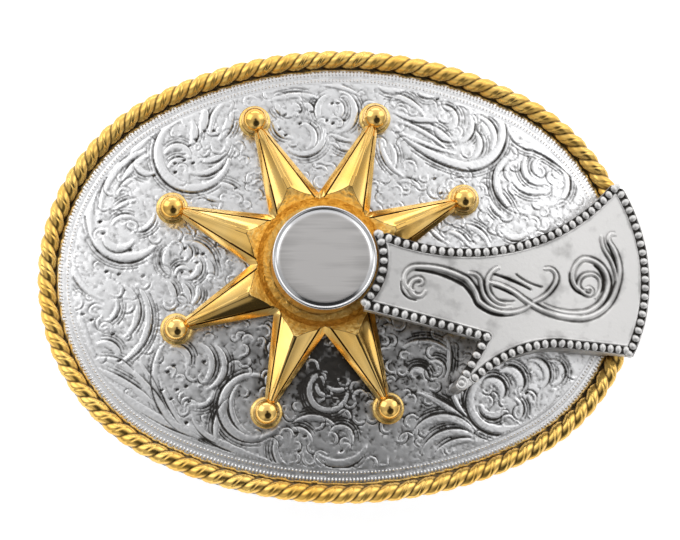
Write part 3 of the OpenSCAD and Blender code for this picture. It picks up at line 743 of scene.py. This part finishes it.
def spot(far, across, up, angle):
    """A place on the rowel: out along a line from its middle, across that line, and over the crown."""
    angle += FIRST_TURN
    return (HUB[0] + far * math.cos(angle) - across * math.sin(angle),
            HUB[1] + far * math.sin(angle) + across * math.cos(angle), CROWN + up)


def revolved(profile, steps, centre=(0, 0, 0)):
    """Closed shape turned from a profile of (radius, height), its ends on the axis."""
    angles = np.arange(steps) / steps * 2 * math.pi
    rows = [(centre[0], centre[1], centre[2] + profile[0][1])]
    for r, z in profile[1:-1]:
        rows += [(centre[0] + r * math.cos(a), centre[1] + r * math.sin(a), centre[2] + z) for a in angles]
    rows.append((centre[0], centre[1], centre[2] + profile[-1][1]))
    faces, rings = [], len(profile) - 2
    for k in range(steps):
        m = (k + 1) % steps
        faces.append((0, 1 + m, 1 + k))
        faces += [(1 + q * steps + k, 1 + q * steps + m, 1 + (q + 1) * steps + m, 1 + (q + 1) * steps + k)
                  for q in range(rings - 1)]
        faces.append((1 + (rings - 1) * steps + k, 1 + (rings - 1) * steps + m, 1 + rings * steps))
    return rows, faces


def combined(made, kind, other):
    """Cuts another object away from this one, or joins it on."""
    step = made.modifiers.new(kind.lower(), "BOOLEAN")
    step.operation, step.object, step.solver = kind, other, "EXACT"


def blended(a, b, t):
    """The point some part of the way from one to another."""
    return tuple(p + (q - p) * t for p, q in zip(a, b))


def spaced(first, last):
    """Evenly spaced points from one place to another, with both of them."""
    return [blended(first, last, u / ALONG) for u in range(ALONG + 1)]


# each point is two hollow-ground flanks that meet in a ridge, with a bevel along the outside
star = bmesh.new()


def corners(points):
    """New corners of the star, in metres."""
    return [star.verts.new([(x + SHIFT) * mm, y * mm, z * mm]) for x, y, z in points]


def loft(first, last):
    """Quads between two rows of corners; corners that coincide are merged at the end."""
    one, two = corners(first), corners(last)
    for u in range(len(one) - 1):
        star.faces.new((one[u], one[u + 1], two[u + 1], two[u]))


def fan(middle, row):
    """Triangles from one corner to a row of others."""
    tip, *others = corners([middle, *row])
    for u in range(len(others) - 1):
        star.faces.new((tip, others[u], others[u + 1]))


top_mid, low_mid = ((HUB[0], HUB[1], CROWN + up) for up in (CREST_UP, UNDER_UP))
for k in range(POINTS):
    a = k * STEP
    crest = spaced(spot(TIP, 0, TIP_UP, a), spot(CREST_IN, 0, CREST_UP, a))
    for s in (-1, 1):
        ridge = spaced(spot(TIP, s * FLAT_TIP, TIP_UP, a), spot(CREST_IN, s * FLAT_IN, CREST_UP, a))
        foot, edge, band, ditch, fold = (
            spaced(spot(TIP, s * across, up, a), spot(NOTCH - inside, 0, high, a + s * STEP / 2))
            for across, up, inside, high in (FOOT, EDGE, BAND, DITCH, FOLD))
        flank = []
        for v in range(ACROSS + 1):
            sag = 4 * HOLLOW * v / ACROSS * (1 - v / ACROSS)
            flank.append([])
            for p, q in zip(fold, ridge):
                x, y, z = blended(p, q, v / ACROSS)
                flank[-1].append((x, y, z - sag * math.dist(p[:2], q[:2])))
        rows = [foot, edge, band, ditch, *flank, crest]
        for first, last in zip(rows[:-1], rows[1:]):
            loft(first, last)
        fan(top_mid, [row[-1] for row in [*flank, crest]])
        fan(low_mid, foot)
        fan(spot(TIP, 0, FOOT[1], a), [row[0] for row in rows])
        fan(low_mid, [spot(TIP, 0, FOOT[1], a), foot[0]])
bmesh.ops.remove_doubles(star, verts=star.verts, dist=0.001 * mm)
bmesh.ops.recalc_face_normals(star, faces=star.faces)
blank = bpy.data.meshes.new("star_blank")
star.to_mesh(blank)
star.free()
for _ in range(2):
    blank.materials.append(None)      # the second slot marks the bevels
star = placed("star_blank", blank)
dish = solid("dish_tool", *revolved(DISH, 96, (*HUB, CROWN)))
bore = solid("bore_tool", *revolved([(0, -3), (BORE_R, -3), (BORE_R, 7), (0, 7)], 64, (*HUB, CROWN)))
for tool in (dish, bore):
    combined(star, "DIFFERENCE", tool)
edge = star.modifiers.new("edge", "BEVEL")
edge.width, edge.segments, edge.material = BEVEL * mm, 2, 1
edge.limit_method, edge.angle_limit = "ANGLE", math.radians(24)
star = settled(star, "star_cut", dish, bore)

# a collar with a rolled shoulder, and the ball that stands on it
ball_line = [(0, -0.6), (COLLAR_R - 0.25, -0.6), (COLLAR_R, -0.35), (COLLAR_R, 0.1), (COLLAR_R - 0.12, 0.28),
             (COLLAR_R - 0.4, 0.4), (COLLAR_R - 0.6, 0.5), (1.98, COLLAR_UP)]
low = math.asin((COLLAR_UP - BALL_UP) / BALL_R)
ball_line += [(BALL_R * math.cos(t), BALL_UP + BALL_R * math.sin(t))
              for t in np.linspace(low + 0.1, math.pi / 2 - 0.05, 18)]
ball_line.append((0, BALL_UP + BALL_R))
rows, faces = [], []
for k in range(POINTS):
    more, new_faces = revolved(ball_line, 48, spot(BALL_RING, 0, 0, k * STEP))
    faces += [tuple(v + len(rows) for v in f) for f in new_faces]
    rows += more
balls = solid("balls", rows, faces)
combined(star, "UNION", balls)
rowel = settled(star, "star_rowel", balls)
rowel.data.polygons.foreach_set("use_smooth", [True] * len(rowel.data.polygons))
rowel.data.set_sharp_from_angle(angle=math.radians(20))


def facet_place(f):
    """The middle of a facet in millimetres, from the rowel's axis and from the crown."""
    return f.center[0] / mm - SHIFT - HUB[0], f.center[1] / mm - HUB[1], f.center[2] / mm - CROWN


def as_cast(f):
    """How rough a facet was left: the collars, and what faces inwards or lies low in the dish."""
    x, y, z = facet_place(f)
    far = math.hypot(x, y)
    if far > TIP - 0.6 and z < COLLAR_UP:
        return CAST_COLLAR
    leaning = (f.normal[0] * x + f.normal[1] * y) / max(far, 1e-6)
    return float(f.normal[2] > 0.05 and far < DISH_R and (leaning < -0.25 or z < 1.1))


def crease_shaded(f):
    """How much painted shade blackens a facet: beside each band, round the dish and at the foot of each ball.
    """
    x, y, z = facet_place(f)
    turn = (math.atan2(y, x) - FIRST_TURN + STEP / 2) % STEP - STEP / 2
    far, across = math.hypot(x, y) * math.cos(turn), abs(math.hypot(x, y) * math.sin(turn))
    from_ball = math.hypot(far - BALL_RING, across)
    if abs(from_ball - BALL_FOOT_R) < 0.22 and 0.4 < z < 0.75:
        return SHADE_AT_BALL_FOOT
    if f.material_index == 1 and math.hypot(x, y) < 15 and z > 2:
        return SHADE_ROUND_DISH
    notch = [(NOTCH - DITCH[2]) * way(STEP / 2) for way in (math.cos, math.sin)]
    t = (TIP - far) / (TIP - notch[0])
    off = abs(across - (DITCH[0] + t * (notch[1] - DITCH[0])))
    return SHADE_IN_DITCH if 0 < t < 0.9 and off < 0.1 and z > 0.9 and from_ball > 2.6 else 0.0


for label, how_much in (("patina", as_cast), ("crease_shade", crease_shaded)):
    marked(rowel, label, "FACE", [how_much(f) for f in rowel.data.polygons])
rowel_gold = gold_finish("rowel_gold", bright=(0.98, 0.66, 0.23), deep=(0.95, 0.57, 0.14), rough=0.12,
                         wear=0.06, grain_depth=0.000012)
rowel.data.polygons.foreach_set("material_index", [0] * len(rowel.data.polygons))
rowel.data.materials.clear()
rowel.data.materials.append(rowel_gold)
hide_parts("rowel")
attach(rowel, "rowel")

# Hub and cap. The gold post that holds the rowel, riveted through the plate, and the steel disc set
# in a polished rim on its head. The disc is brushed straight across.

hub_gold = gold_finish("hub_gold", bright=(0.96, 0.66, 0.26), deep=(0.9, 0.56, 0.16), rough=0.26, wear=0.1,
                       grain_depth=0.00002)
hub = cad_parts["hub"]
hub.data.materials.clear()
hub.data.materials.append(hub_gold)

CAP_R, CAP_Z, HEAD_TOP, LIP = 8.6, 7.5, 6.4, 0.28
DISC_UP, DISC_R = HEAD_TOP + 1.02, 7.4
# the disc's rolled edge: radius, and how far it lies under the disc's flat top
ROLLED = ((8.05, 0.27), (7.9, 0.21), (7.75, 0.15), (7.6, 0.09), (7.45, 0.04), (7.3, 0.01))
cap_line = [(0, HEAD_TOP), (CAP_R - LIP - 0.1, HEAD_TOP), (CAP_R - 0.1, HEAD_TOP + 0.12),
            (CAP_R - 0.05, HEAD_TOP + 0.35)]
for t in np.linspace(-0.6, 2.0, 10):
    cap_line.append((CAP_R - LIP + LIP * math.cos(t), CAP_Z - LIP + LIP * math.sin(t)))
cap_line += [(r, DISC_UP - dip) for r, dip in ROLLED]
cap_line += [(r, DISC_UP) for r in (7.1, 5, 2.5, 0)]
cap = solid("brushed_cap", *revolved(cap_line, 160, (*HUB, CROWN)))


def brushed_finish(name):
    """Steel brushed straight across, with painted shade darkening it towards its edge, and polished outside
    that.
    """
    material, tree, shader = finish_of(name)
    place = wire(tree, "ShaderNodeTexCoord").outputs["Object"]
    drawn, wide = (wire(tree, "ShaderNodeMapping", {"Vector": place, "Scale": scale})
                   for scale in ((70.0, 1700.0, 70.0), (90.0, 420.0, 90.0)))
    lines, bands = noise(tree, drawn, 1.0, 3.0), noise(tree, wide, 1.0, 2.0)
    to_middle = (-(HUB[0] + SHIFT) * mm, -HUB[1] * mm, 0)
    centred = wire(tree, "ShaderNodeMapping", {"Vector": place, "Location": to_middle})
    level = wire(tree, "ShaderNodeVectorMath", {0: centred, 1: (1.0, 1.0, 0.0)}, operation="MULTIPLY")
    far = wire(tree, "ShaderNodeVectorMath", {0: level}, operation="LENGTH").outputs["Value"]
    disc = ranged(tree, far, DISC_R * mm, (DISC_R + 0.15) * mm, 1.0, 0.0)
    # painted shade: the brushed disc darkens towards the rim
    shaded_to_rim = ranged(tree, far, 4.5 * mm, 8.1 * mm, 0.0, 0.38)
    streaks = worked(tree, "SUBTRACT", worked(tree, "ADD", lines, bands), shaded_to_rim)
    brushed = tinted(tree, streaks, (0.55, 0.535, 0.525), 0.55, (0.72, 0.7, 0.69), 1.35)
    feed(tree, shader, {"Base Color": mixed(tree, disc, (0.70, 0.70, 0.71, 1), brushed),
                        "Roughness": ranged(tree, disc, 0.0, 1.0, 0.16, 0.45),
                        "Normal": bumped(tree, lines, disc, 0.00001),
                        "Metallic": 1.0})
    return material


cap.data.materials.append(brushed_finish("cap_silver"))
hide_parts("hub_cap")
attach(cap, "buckle")

# Spur shank. The arm of the spur is a nickel silver casting that bends over the rowel and is soldered
# to the right end of the plate. Its face is satin, with a raised scroll, and a line of beads runs
# round it a little inside the edge.

SHANK_H, SHANK_T, SHANK_BEND, BEND_FROM = 6.8, 2.0, 107.0, 5.0
SWEEP_GAP, FOOT_GAP, OVER_ROPE, FOOT_IN = 0.5, 0.06, 0.2, FIELD_IN + 0.2
SWEEP_R = BALL_RING + COLLAR_R + SWEEP_GAP     # the turning rowel stays inside this
# arcs of the bead line: middle x and y, radius, first and last angle, way out to the edge, steps
HUB_ARC = (-4, 1.5, 9.75, 25, -49, -0.75, 24)
LOW_ARC = (35.6, -34.4, 22.1, 133, 90, -0.75, 24)
END_ARC = (ARM_X, ARM_Y, 26.3, -30, 35.3, 0.95, 32)
TOP_ARC = (19.3, 38.45, 36, -42, -113, -0.75, 48)
# corners of the bead line: along the neck, at the tip of the guard, and under the end
NECK_FROM, NECK_TO, INNER_TO = (2.9, -6.25), (22.7, -11.5), (18.9, -17.9)
LOW_FROM, LOW_TO, TIP_AT = (35.6, -12.35), (47.3, -13.1), (18.2, -19.1)


def shank_top(x):
    """Height of the shank's face, which bends down towards the plate's end."""
    return CROWN + SHANK_H - SHANK_BEND + np.sqrt(SHANK_BEND ** 2 - (x - BEND_FROM) ** 2)


def arc_of(row, out=0.0):
    """Points along one of the arcs, or so far outside it."""
    x, y, radius, first, last, _, steps = row
    t = np.radians(np.linspace(first, last, steps + 1))
    return np.column_stack([x + (radius + out) * np.cos(t), y + (radius + out) * np.sin(t)])


def edge_of(row):
    """Points of the shank's edge along one of the arcs, without the last."""
    return arc_of(row, row[5])[:-1]


def beside(p, dx, dy):
    """The edge's corner beside a corner of the bead line."""
    return [[p[0] + dx, p[1] + dy]]


outline = np.vstack([edge_of(HUB_ARC), beside(NECK_FROM, -0.5, -0.8), beside(NECK_TO, -0.9, -0.55),
                     beside(INNER_TO, -0.95, -0.3), beside(TIP_AT, -1.0, -0.5), beside(TIP_AT, -0.5, -1.2),
                     beside(TIP_AT, 0.6, -1.1), edge_of(LOW_ARC)[1:], beside(LOW_TO, 0.9, -0.85),
                     edge_of(END_ARC), edge_of(TOP_ARC)])


def divided(line, gap, closed=True):
    """A line with points added so that none lie further apart than the gap."""
    out = []
    for a, b in zip(line if closed else line[:-1], np.roll(line, -1, 0)):
        n = max(1, int(math.ceil(np.hypot(*(b - a)) / gap)))
        out += [a + (b - a) * k / n for k in range(n)]
    return np.array(out if closed else out + [line[-1]])


def crossings(line, centre, radius):
    """The same closed line, with a point wherever it crosses a circle."""
    out = []
    for a, b in zip(line, np.roll(line, -1, 0)):
        out.append(a)
        ra, rb = np.hypot(*(a - centre)) - radius, np.hypot(*(b - centre)) - radius
        if ra * rb < 0:
            low, high = 0.0, 1.0
            for _ in range(40):
                mid = (low + high) / 2
                if (np.hypot(*(a + (b - a) * mid - centre)) - radius) * ra > 0:
                    low = mid
                else:
                    high = mid
            out.append(a + (b - a) * low)
    return np.array(out)


outline = crossings(divided(outline, 0.35), HUB, SWEEP_R)
EDGE_N = len(outline)
loop_edges = [(k, (k + 1) % EDGE_N) for k in range(EDGE_N)]

arm = Relief(x0=0.0, y0=-22.5, x1=53.0, y1=17.5, pitch=0.12)
bead_lines = [arc_of(HUB_ARC), np.array([NECK_FROM, NECK_TO]), np.array([NECK_TO, INNER_TO, TIP_AT]),
              np.vstack([arc_of(LOW_ARC), [LOW_FROM], [LOW_TO]]), arc_of(END_ARC), arc_of(TOP_ARC)]
# stems that stand up from the face: widest half width, x and y of the root, then arcs as in the leaves
RIBS = [
    # curl beside the hub, and the stem that leaves it
    (0.35, 11.5, -3, 11.5, -2, -0.6, 10.5, -4.5, -1, 12.5, -4, -0.6),
    (0.43, 10.5, -4, 11, 0, 1.7, 19.5, -2, 0.6, 21.5, -5.5, 0.3, 30.5, -6, -1.7),
    # two leaves inside the stem's bend
    (0.35, 20, -1, 22, -3, 0.7, 27, -6.5, -1.5), (0.35, 25, 0, 26, -6, -2.5),
    # long vine round to the end, and the leaf off it
    (0.48, 23.5, -2.5, 29, -5, 0.4, 38, -8, -0.7, 46, -2.5, -1.7, 45, 5, -1.1, 46, 6.5, 0.7),
    (0.33, 31, -5.5, 35, -2, -0.5, 33, 0, -1),
    # end scroll, the curl inside it and the plume over it
    (0.42, 32.5, -6, 40, -7, -0.6, 44.5, -2, -1, 40, 2, -1.4, 38, -1, -0.5, 40, -3.5, -0.6),
    (0.25, 40.5, -3, 41.5, -3.5, 0.4, 40.5, -4, 0.3, 39, -2.5, 0.3, 41, -0.5, 0.6,
     43, -2, 0.6, 42, -4.5, 0.3),
    (0.3, 43.5, 6, 44.5, 3, -0.3, 46, -1.5, 0.4),
]
# wide dark cuts between them
CUTS = [
    (0.42, 24, -1, 30.5, -3.5, 0.2), (0.42, 24, -3, 29.5, -5.5, 0.2), (0.3, 28, -1, 32.5, -3, -0.3),
    (0.3, 24, -5, 27.5, -5.5, -0.2), (0.55, 11, -0.5, 19, -3, 0.5, 21, -6, 0.2, 29.5, -6.5, -1.6),
    (0.35, 8.5, -2.5, 11, -5.5, -0.9), (0.35, 37.5, -0.5, 40, -4, -1), (0.4, 42, 1, 43, -3.5, 1),
    (0.35, 44.5, 5, 46, 0, 0.3),
]


def tapered(wide, route):
    """A line along the arcs whose half width swells from its ends to its middle."""
    line = arcs(*route)
    line = smooth_line(np.column_stack([line, np.zeros(len(line))]), 0.4)
    line[:, 2] = 0.15 + (wide - 0.15) * np.sin(np.linspace(0.35, math.pi - 0.25, len(line))) ** 0.7
    return line


RIB_UP, RIB_CUT, DARK_CUT = 0.22, 0.27, 0.36
for wide, *route in RIBS:
    fine = tapered(wide, route)
    way = np.gradient(fine[:, :2], axis=0)
    way = np.column_stack([-way[:, 1], way[:, 0]]) / np.hypot(way[:, 0], way[:, 1])[:, None]
    fade = np.sin(np.linspace(0.25, math.pi - 0.25, len(fine)))
    for side in (-1, 1):
        beside_line = fine[:, :2] + side * way * (fine[:, 2:3] + 0.12)
        arm.line(np.column_stack([beside_line, 0.06 + 0.15 * fade]), -RIB_CUT)
    arm.line(fine, RIB_UP)
for wide, *route in CUTS:
    arm.line(tapered(0.72 * wide, route), -DARK_CUT)
# the beads lie in a channel between two thin rims; a pitted ring ends the guard
CHANNEL, RIM_AT, CHANNEL_DOWN, RIM_UP, RING_R = 0.74, 0.84, 0.3, 0.1, 1.35
beading = arm.away(bead_lines, 2.0)
channel = np.clip((CHANNEL - beading) / 0.14, 0, 1)
fence = np.clip(1 - np.abs(beading - RIM_AT) / 0.15, 0, 1)
ring_d = np.hypot(arm.x[:, None] - TIP_AT[0], arm.y[None, :] - TIP_AT[1])
boss = np.clip(1 - np.abs(ring_d - 0.85) / 0.4, 0, 1) ** 0.6
dimple = np.clip(1 - ring_d / 0.5, 0, 1) ** 0.5
arm_height = np.where(arm.lift > 0.05, arm.lift, arm.lift - arm.cut)
arm_height = arm_height * (beading > 1.0) - CHANNEL_DOWN * channel + RIM_UP * fence
arm_height = np.where(ring_d < RING_R, 0.3 * boss - 0.25 * dimple, arm_height)
arm_tone = np.clip((softened(arm_height, 4) - arm_height) / 0.22, 0, 1) * 0.55
arm_tone += np.clip(arm.cut / 0.26, 0, 1) * 0.7 * (arm.lift < 0.08) * (beading > 1.0) + 0.85 * channel
arm_tone += 0.5 * np.clip(1 - np.abs(beading - 1.06) / 0.14, 0, 1)
arm_tone = np.where(ring_d < RING_R, 0.3 + 0.5 * dimple - 0.3 * boss, arm_tone)
arm_tone = np.clip(softened(arm_tone, 1), 0, 1)


def within(points, line):
    """Which points lie inside a closed line."""
    a, b = line, np.roll(line, -1, 0)
    hits = np.zeros(len(points), int)
    for (ax, ay), (bx, by) in zip(a, b):
        if ay != by:
            level = (points[:, 1] < ay) != (points[:, 1] < by)
            hits += level & (points[:, 0] < ax + (points[:, 1] - ay) * (bx - ax) / (by - ay))
    return hits % 2 == 1


grid = np.stack(np.meshgrid(arm.x, arm.y, indexing="ij"), -1)
from_edge = arm.away([np.vstack([outline, outline[:1]])], 0.5)
keep = within(grid.reshape(-1, 2), outline).reshape(from_edge.shape) & (from_edge > 0.1)
top_xy, top_f = triangles(np.vstack([outline, fine_points(arm, arm_height, keep, 34000)]), loop_edges)
top_f = facing_up(top_xy, top_f[within(top_xy[top_f].mean(1), outline)])
top_z = shank_top(top_xy[:, 0]) + sample(arm_height, arm, *top_xy.T)


def foot_z(x, y):
    """Underside of the foot: on the plate, and stepped up over the rope."""
    on_plate = CROWN - drop(x, y) + FOOT_GAP
    over_rope = CROWN - drop(x, y) + ROPE_UP + ROPE_R + OVER_ROPE
    return np.where(inside_by(x, y) > FOOT_IN, on_plate, over_rope)


# the underside: a slab over the rowel, and from the rowel's sweep outwards the deeper foot
on_step = np.nonzero(np.abs(off_hub(outline) - SWEEP_R) < 1e-6)[0]
angles = np.arctan2(*(outline[on_step] - HUB).T[::-1])
arc_t = np.linspace(angles.min(), angles.max(), 60)[1:-1]
arc = np.column_stack([HUB[0] + SWEEP_R * np.cos(arc_t), HUB[1] + SWEEP_R * np.sin(arc_t)])
chain = [int(on_step[angles.argmin()]), *range(EDGE_N, EDGE_N + len(arc)), int(on_step[angles.argmax()])]
steps = list(zip(chain[:-1], chain[1:]))
few = lattice(x0=1, x1=53, y0=-22, y1=17, gap=1.5)
few = few[within(few, outline) & (np.abs(off_hub(few) - SWEEP_R) > 0.4)]
low_xy, low_f = triangles(np.vstack([outline, arc, few]), loop_edges + steps)
low_f = facing_up(low_xy, low_f[within(low_xy[low_f].mean(1), outline)])[:, ::-1]
is_foot = off_hub(low_xy[low_f].mean(1)) > SWEEP_R
n_top, n_low = len(top_xy), len(low_xy)
verts = np.vstack([np.column_stack([top_xy, top_z]),
                   np.column_stack([low_xy, shank_top(low_xy[:, 0]) - SHANK_T]),
                   np.column_stack([low_xy, foot_z(*low_xy.T)])])
walls = []
for k, m in loop_edges:
    base = n_top + (n_low if np.hypot(*((outline[k] + outline[m]) / 2 - HUB)) > SWEEP_R else 0)
    walls += [(k, base + k, base + m), (k, base + m, m)]
for a, b in steps:
    walls += [(n_top + a, n_top + n_low + a, n_top + n_low + b), (n_top + a, n_top + n_low + b, n_top + b)]
faces = np.vstack([top_f, low_f[~is_foot] + n_top, low_f[is_foot] + n_top + n_low, walls])
shank = solid("spur_arm", verts, faces)
shank.data.polygons.foreach_set("use_smooth", [k < len(top_f) for k in range(len(shank.data.polygons))])
tone = np.full(len(verts), 0.3)
tone[:n_top] = sample(arm_tone, arm, *top_xy.T)
marked(shank, "patina", "POINT", tone)
antique = silver_finish("antique_silver", bright=(0.78, 0.77, 0.76), dark=(0.05, 0.046, 0.042), smooth=0.5,
                        rough=0.62, grain=1500, depth=0.00006, mottle=0.3, cloud_scale=260.0)
shank.data.materials.append(antique)
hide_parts("spur_shank")
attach(shank, "buckle")

BEAD_DOWN, BEAD_PITCH, BEAD_SIZE = 0.16, 1.5, (0.6, 0.78, 0.42)
lifted = [np.column_stack([line, shank_top(line[:, 0]) - BEAD_DOWN])
          for line in (divided(line, 0.2, False) for line in bead_lines)]
beads = grown("shank_beads", bead_tree("shank_row"), lifted, False,
              {"Pitch": BEAD_PITCH * mm, "Size": tuple(v * mm for v in BEAD_SIZE), "Roundness": 2,
               "Finish": antique})
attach(beads, "buckle")

# Belt loop and hook. Behind the plate, a bent wire loop for the strap's end and a leaning peg for
# its holes, both of plain nickel silver and soldered on.


def plain_finish(name):
    """Nickel silver as it comes from the tumbler, a little cloudy."""
    material, tree, shader = finish_of(name)
    cloud = noise(tree, wire(tree, "ShaderNodeTexCoord").outputs["Object"], 300.0, 4.0)
    feed(tree, shader, {"Base Color": tinted(tree, cloud, (0.45, 0.44, 0.42), 0.3, (0.66, 0.65, 0.63), 0.7),
                        "Roughness": ranged(tree, cloud, 0.0, 1.0, 0.3, 0.5),
                        "Normal": bumped(tree, cloud, 0.3, 0.00003),
                        "Metallic": 1.0})
    return material


back_metal = plain_finish("back_metal")
for name in ("belt_loop", "belt_hook"):
    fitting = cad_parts[name]
    fitting.data.materials.clear()
    fitting.data.materials.append(back_metal)

# Table and light. The buckle lies on a plain white table under soft light: a bright panel on the
# left and one on the right, a grey ceiling, and lamps with wide soft boxes.

table = bpy.data.meshes.new("floor")
table.from_pydata([(-3, -3, 0), (3, -3, 0), (3, 3, 0), (-3, 3, 0)], [], [(0, 1, 2, 3)])
floor = placed("floor", table)
paper, tree, shader = finish_of("white_table")
feed(tree, shader, {"Base Color": (0.92, 0.92, 0.92, 1), "Roughness": 0.9,
                    "Emission Color": (1, 1, 1, 1), "Emission Strength": 0.55})
floor.data.materials.append(paper)

world = bpy.data.worlds.new("studio")
bpy.context.scene.world = world
world.use_nodes = True
studio = world.node_tree
look = wire(studio, "ShaderNodeTexCoord").outputs["Generated"]
x, y, z = wire(studio, "ShaderNodeSeparateXYZ", {0: look}).outputs


def figured(operation, *values):
    """A number of the studio worked out from one or two others."""
    return worked(studio, operation, *values)


def fading(value, low, high, start, end):
    """A light that changes softly from one brightness to another as a number rises."""
    return ranged(studio, value, low, high, start, end, interpolation_type="SMOOTHSTEP")


def product(first, *others):
    """Several brightnesses multiplied."""
    for other in others:
        first = figured("MULTIPLY", first, other)
    return first


def away_from(direction):
    """How far the view lies from a direction."""
    apart = wire(studio, "ShaderNodeVectorMath", {0: look, 1: direction}, operation="DISTANCE")
    return apart.outputs["Value"]


leftward, forward = figured("MULTIPLY", x, -1.0), figured("MULTIPLY", y, -1.0)
# the panels left and right, and a ceiling that darkens forwards
left_panel = fading(leftward, 0.14, 0.5, 0.0, 0.12)
right_panel = figured("SUBTRACT", fading(x, 0.16, 0.55, 0.0, 0.36), fading(x, 0.62, 0.85, 0.0, 0.2))
ceiling = figured("ADD", fading(y, -0.12, 0.28, 0.40, 0.72), fading(y, 0.4, 0.95, 0.0, 0.3))
front = fading(forward, 0.4, 0.65, 0.0, 0.28)
total = figured("ADD", figured("ADD", figured("ADD", left_panel, right_panel), ceiling), front)
# a dark gap straight in front, and two dark openings overhead, one of them for the camera
aside = figured("ABSOLUTE", figured("SUBTRACT", figured("ARCTAN2", x, forward), 0.05))
gap = product(fading(aside, 0.34, 0.62, 1.0, 0.0), fading(forward, 0.74, 0.9, 0.0, 1.0), 0.45)
camera_opening = fading(away_from((0.04, -0.01, 1.0)), 0.06, 0.28, 0.05, 1.0)
front_opening = fading(away_from((0.15, -0.58, 0.8)), 0.42, 0.56, 0.05, 1.0)
horizon = fading(z, 0.0, 0.55, 0.55, 1.0)
lit = product(total, figured("SUBTRACT", 1.0, gap), product(camera_opening, front_opening), horizon)
feed(studio, studio.nodes["Background"], {"Color": lit, "Strength": 1.0})


def softbox(name, direction, size, power):
    """A wide lamp a metre from the buckle, facing it."""
    lamp = bpy.data.lights.new(name, "AREA")
    lamp.shape, lamp.energy = "RECTANGLE", power
    lamp.size, lamp.size_y = size
    holder = placed(name, lamp)
    holder.location = Vector(direction).normalized()
    holder.rotation_euler = Vector(direction).normalized().to_track_quat("Z", "Y").to_euler()


softbox("left_box", direction=(-0.72, 0.42, 0.5), size=(0.7, 0.8), power=1.9)
softbox("right_box", direction=(0.75, 0.45, 0.5), size=(0.6, 0.8), power=1.2)
softbox("back_box", direction=(0.0, 0.95, 0.32), size=(0.9, 0.2), power=1.1)

# Camera. It looks down on the buckle almost from straight above, a little from the front and the
# left, through a long lens.

TOWARD, ROLL = (-0.09385, -0.14376, 1), 0.01787
SPAN, PIXELS_PER_MM = 0.42581, 6.01418      # camera distance in metres, and the picture's scale
FRAME_W, FRAME_H, SENSOR = 680, 540, 36
CROWN_X, CROWN_Y = 345.229, 272.892         # where the dome's top shows, in pixels
toward = Vector(TOWARD).normalized()
right = Vector((math.sin(ROLL), math.cos(ROLL), 0)).cross(toward).normalized()
up = toward.cross(right)
pixel = mm / PIXELS_PER_MM
aim = Vector((SHIFT * mm, 0, CROWN * mm))
aim += up * (CROWN_Y - FRAME_H / 2) * pixel - right * (CROWN_X - FRAME_W / 2) * pixel
camera = placed("camera", bpy.data.cameras.new("camera"))
camera.data.sensor_width = SENSOR
camera.data.lens = SPAN / pixel * SENSOR / FRAME_W
camera.data.clip_start = 0.01
turn = Matrix((right, up, toward)).transposed().to_4x4()
camera.matrix_world = Matrix.Translation(aim + toward * SPAN) @ turn
bpy.context.scene.camera = camera
bpy.context.scene.view_settings.view_transform = "Standard"
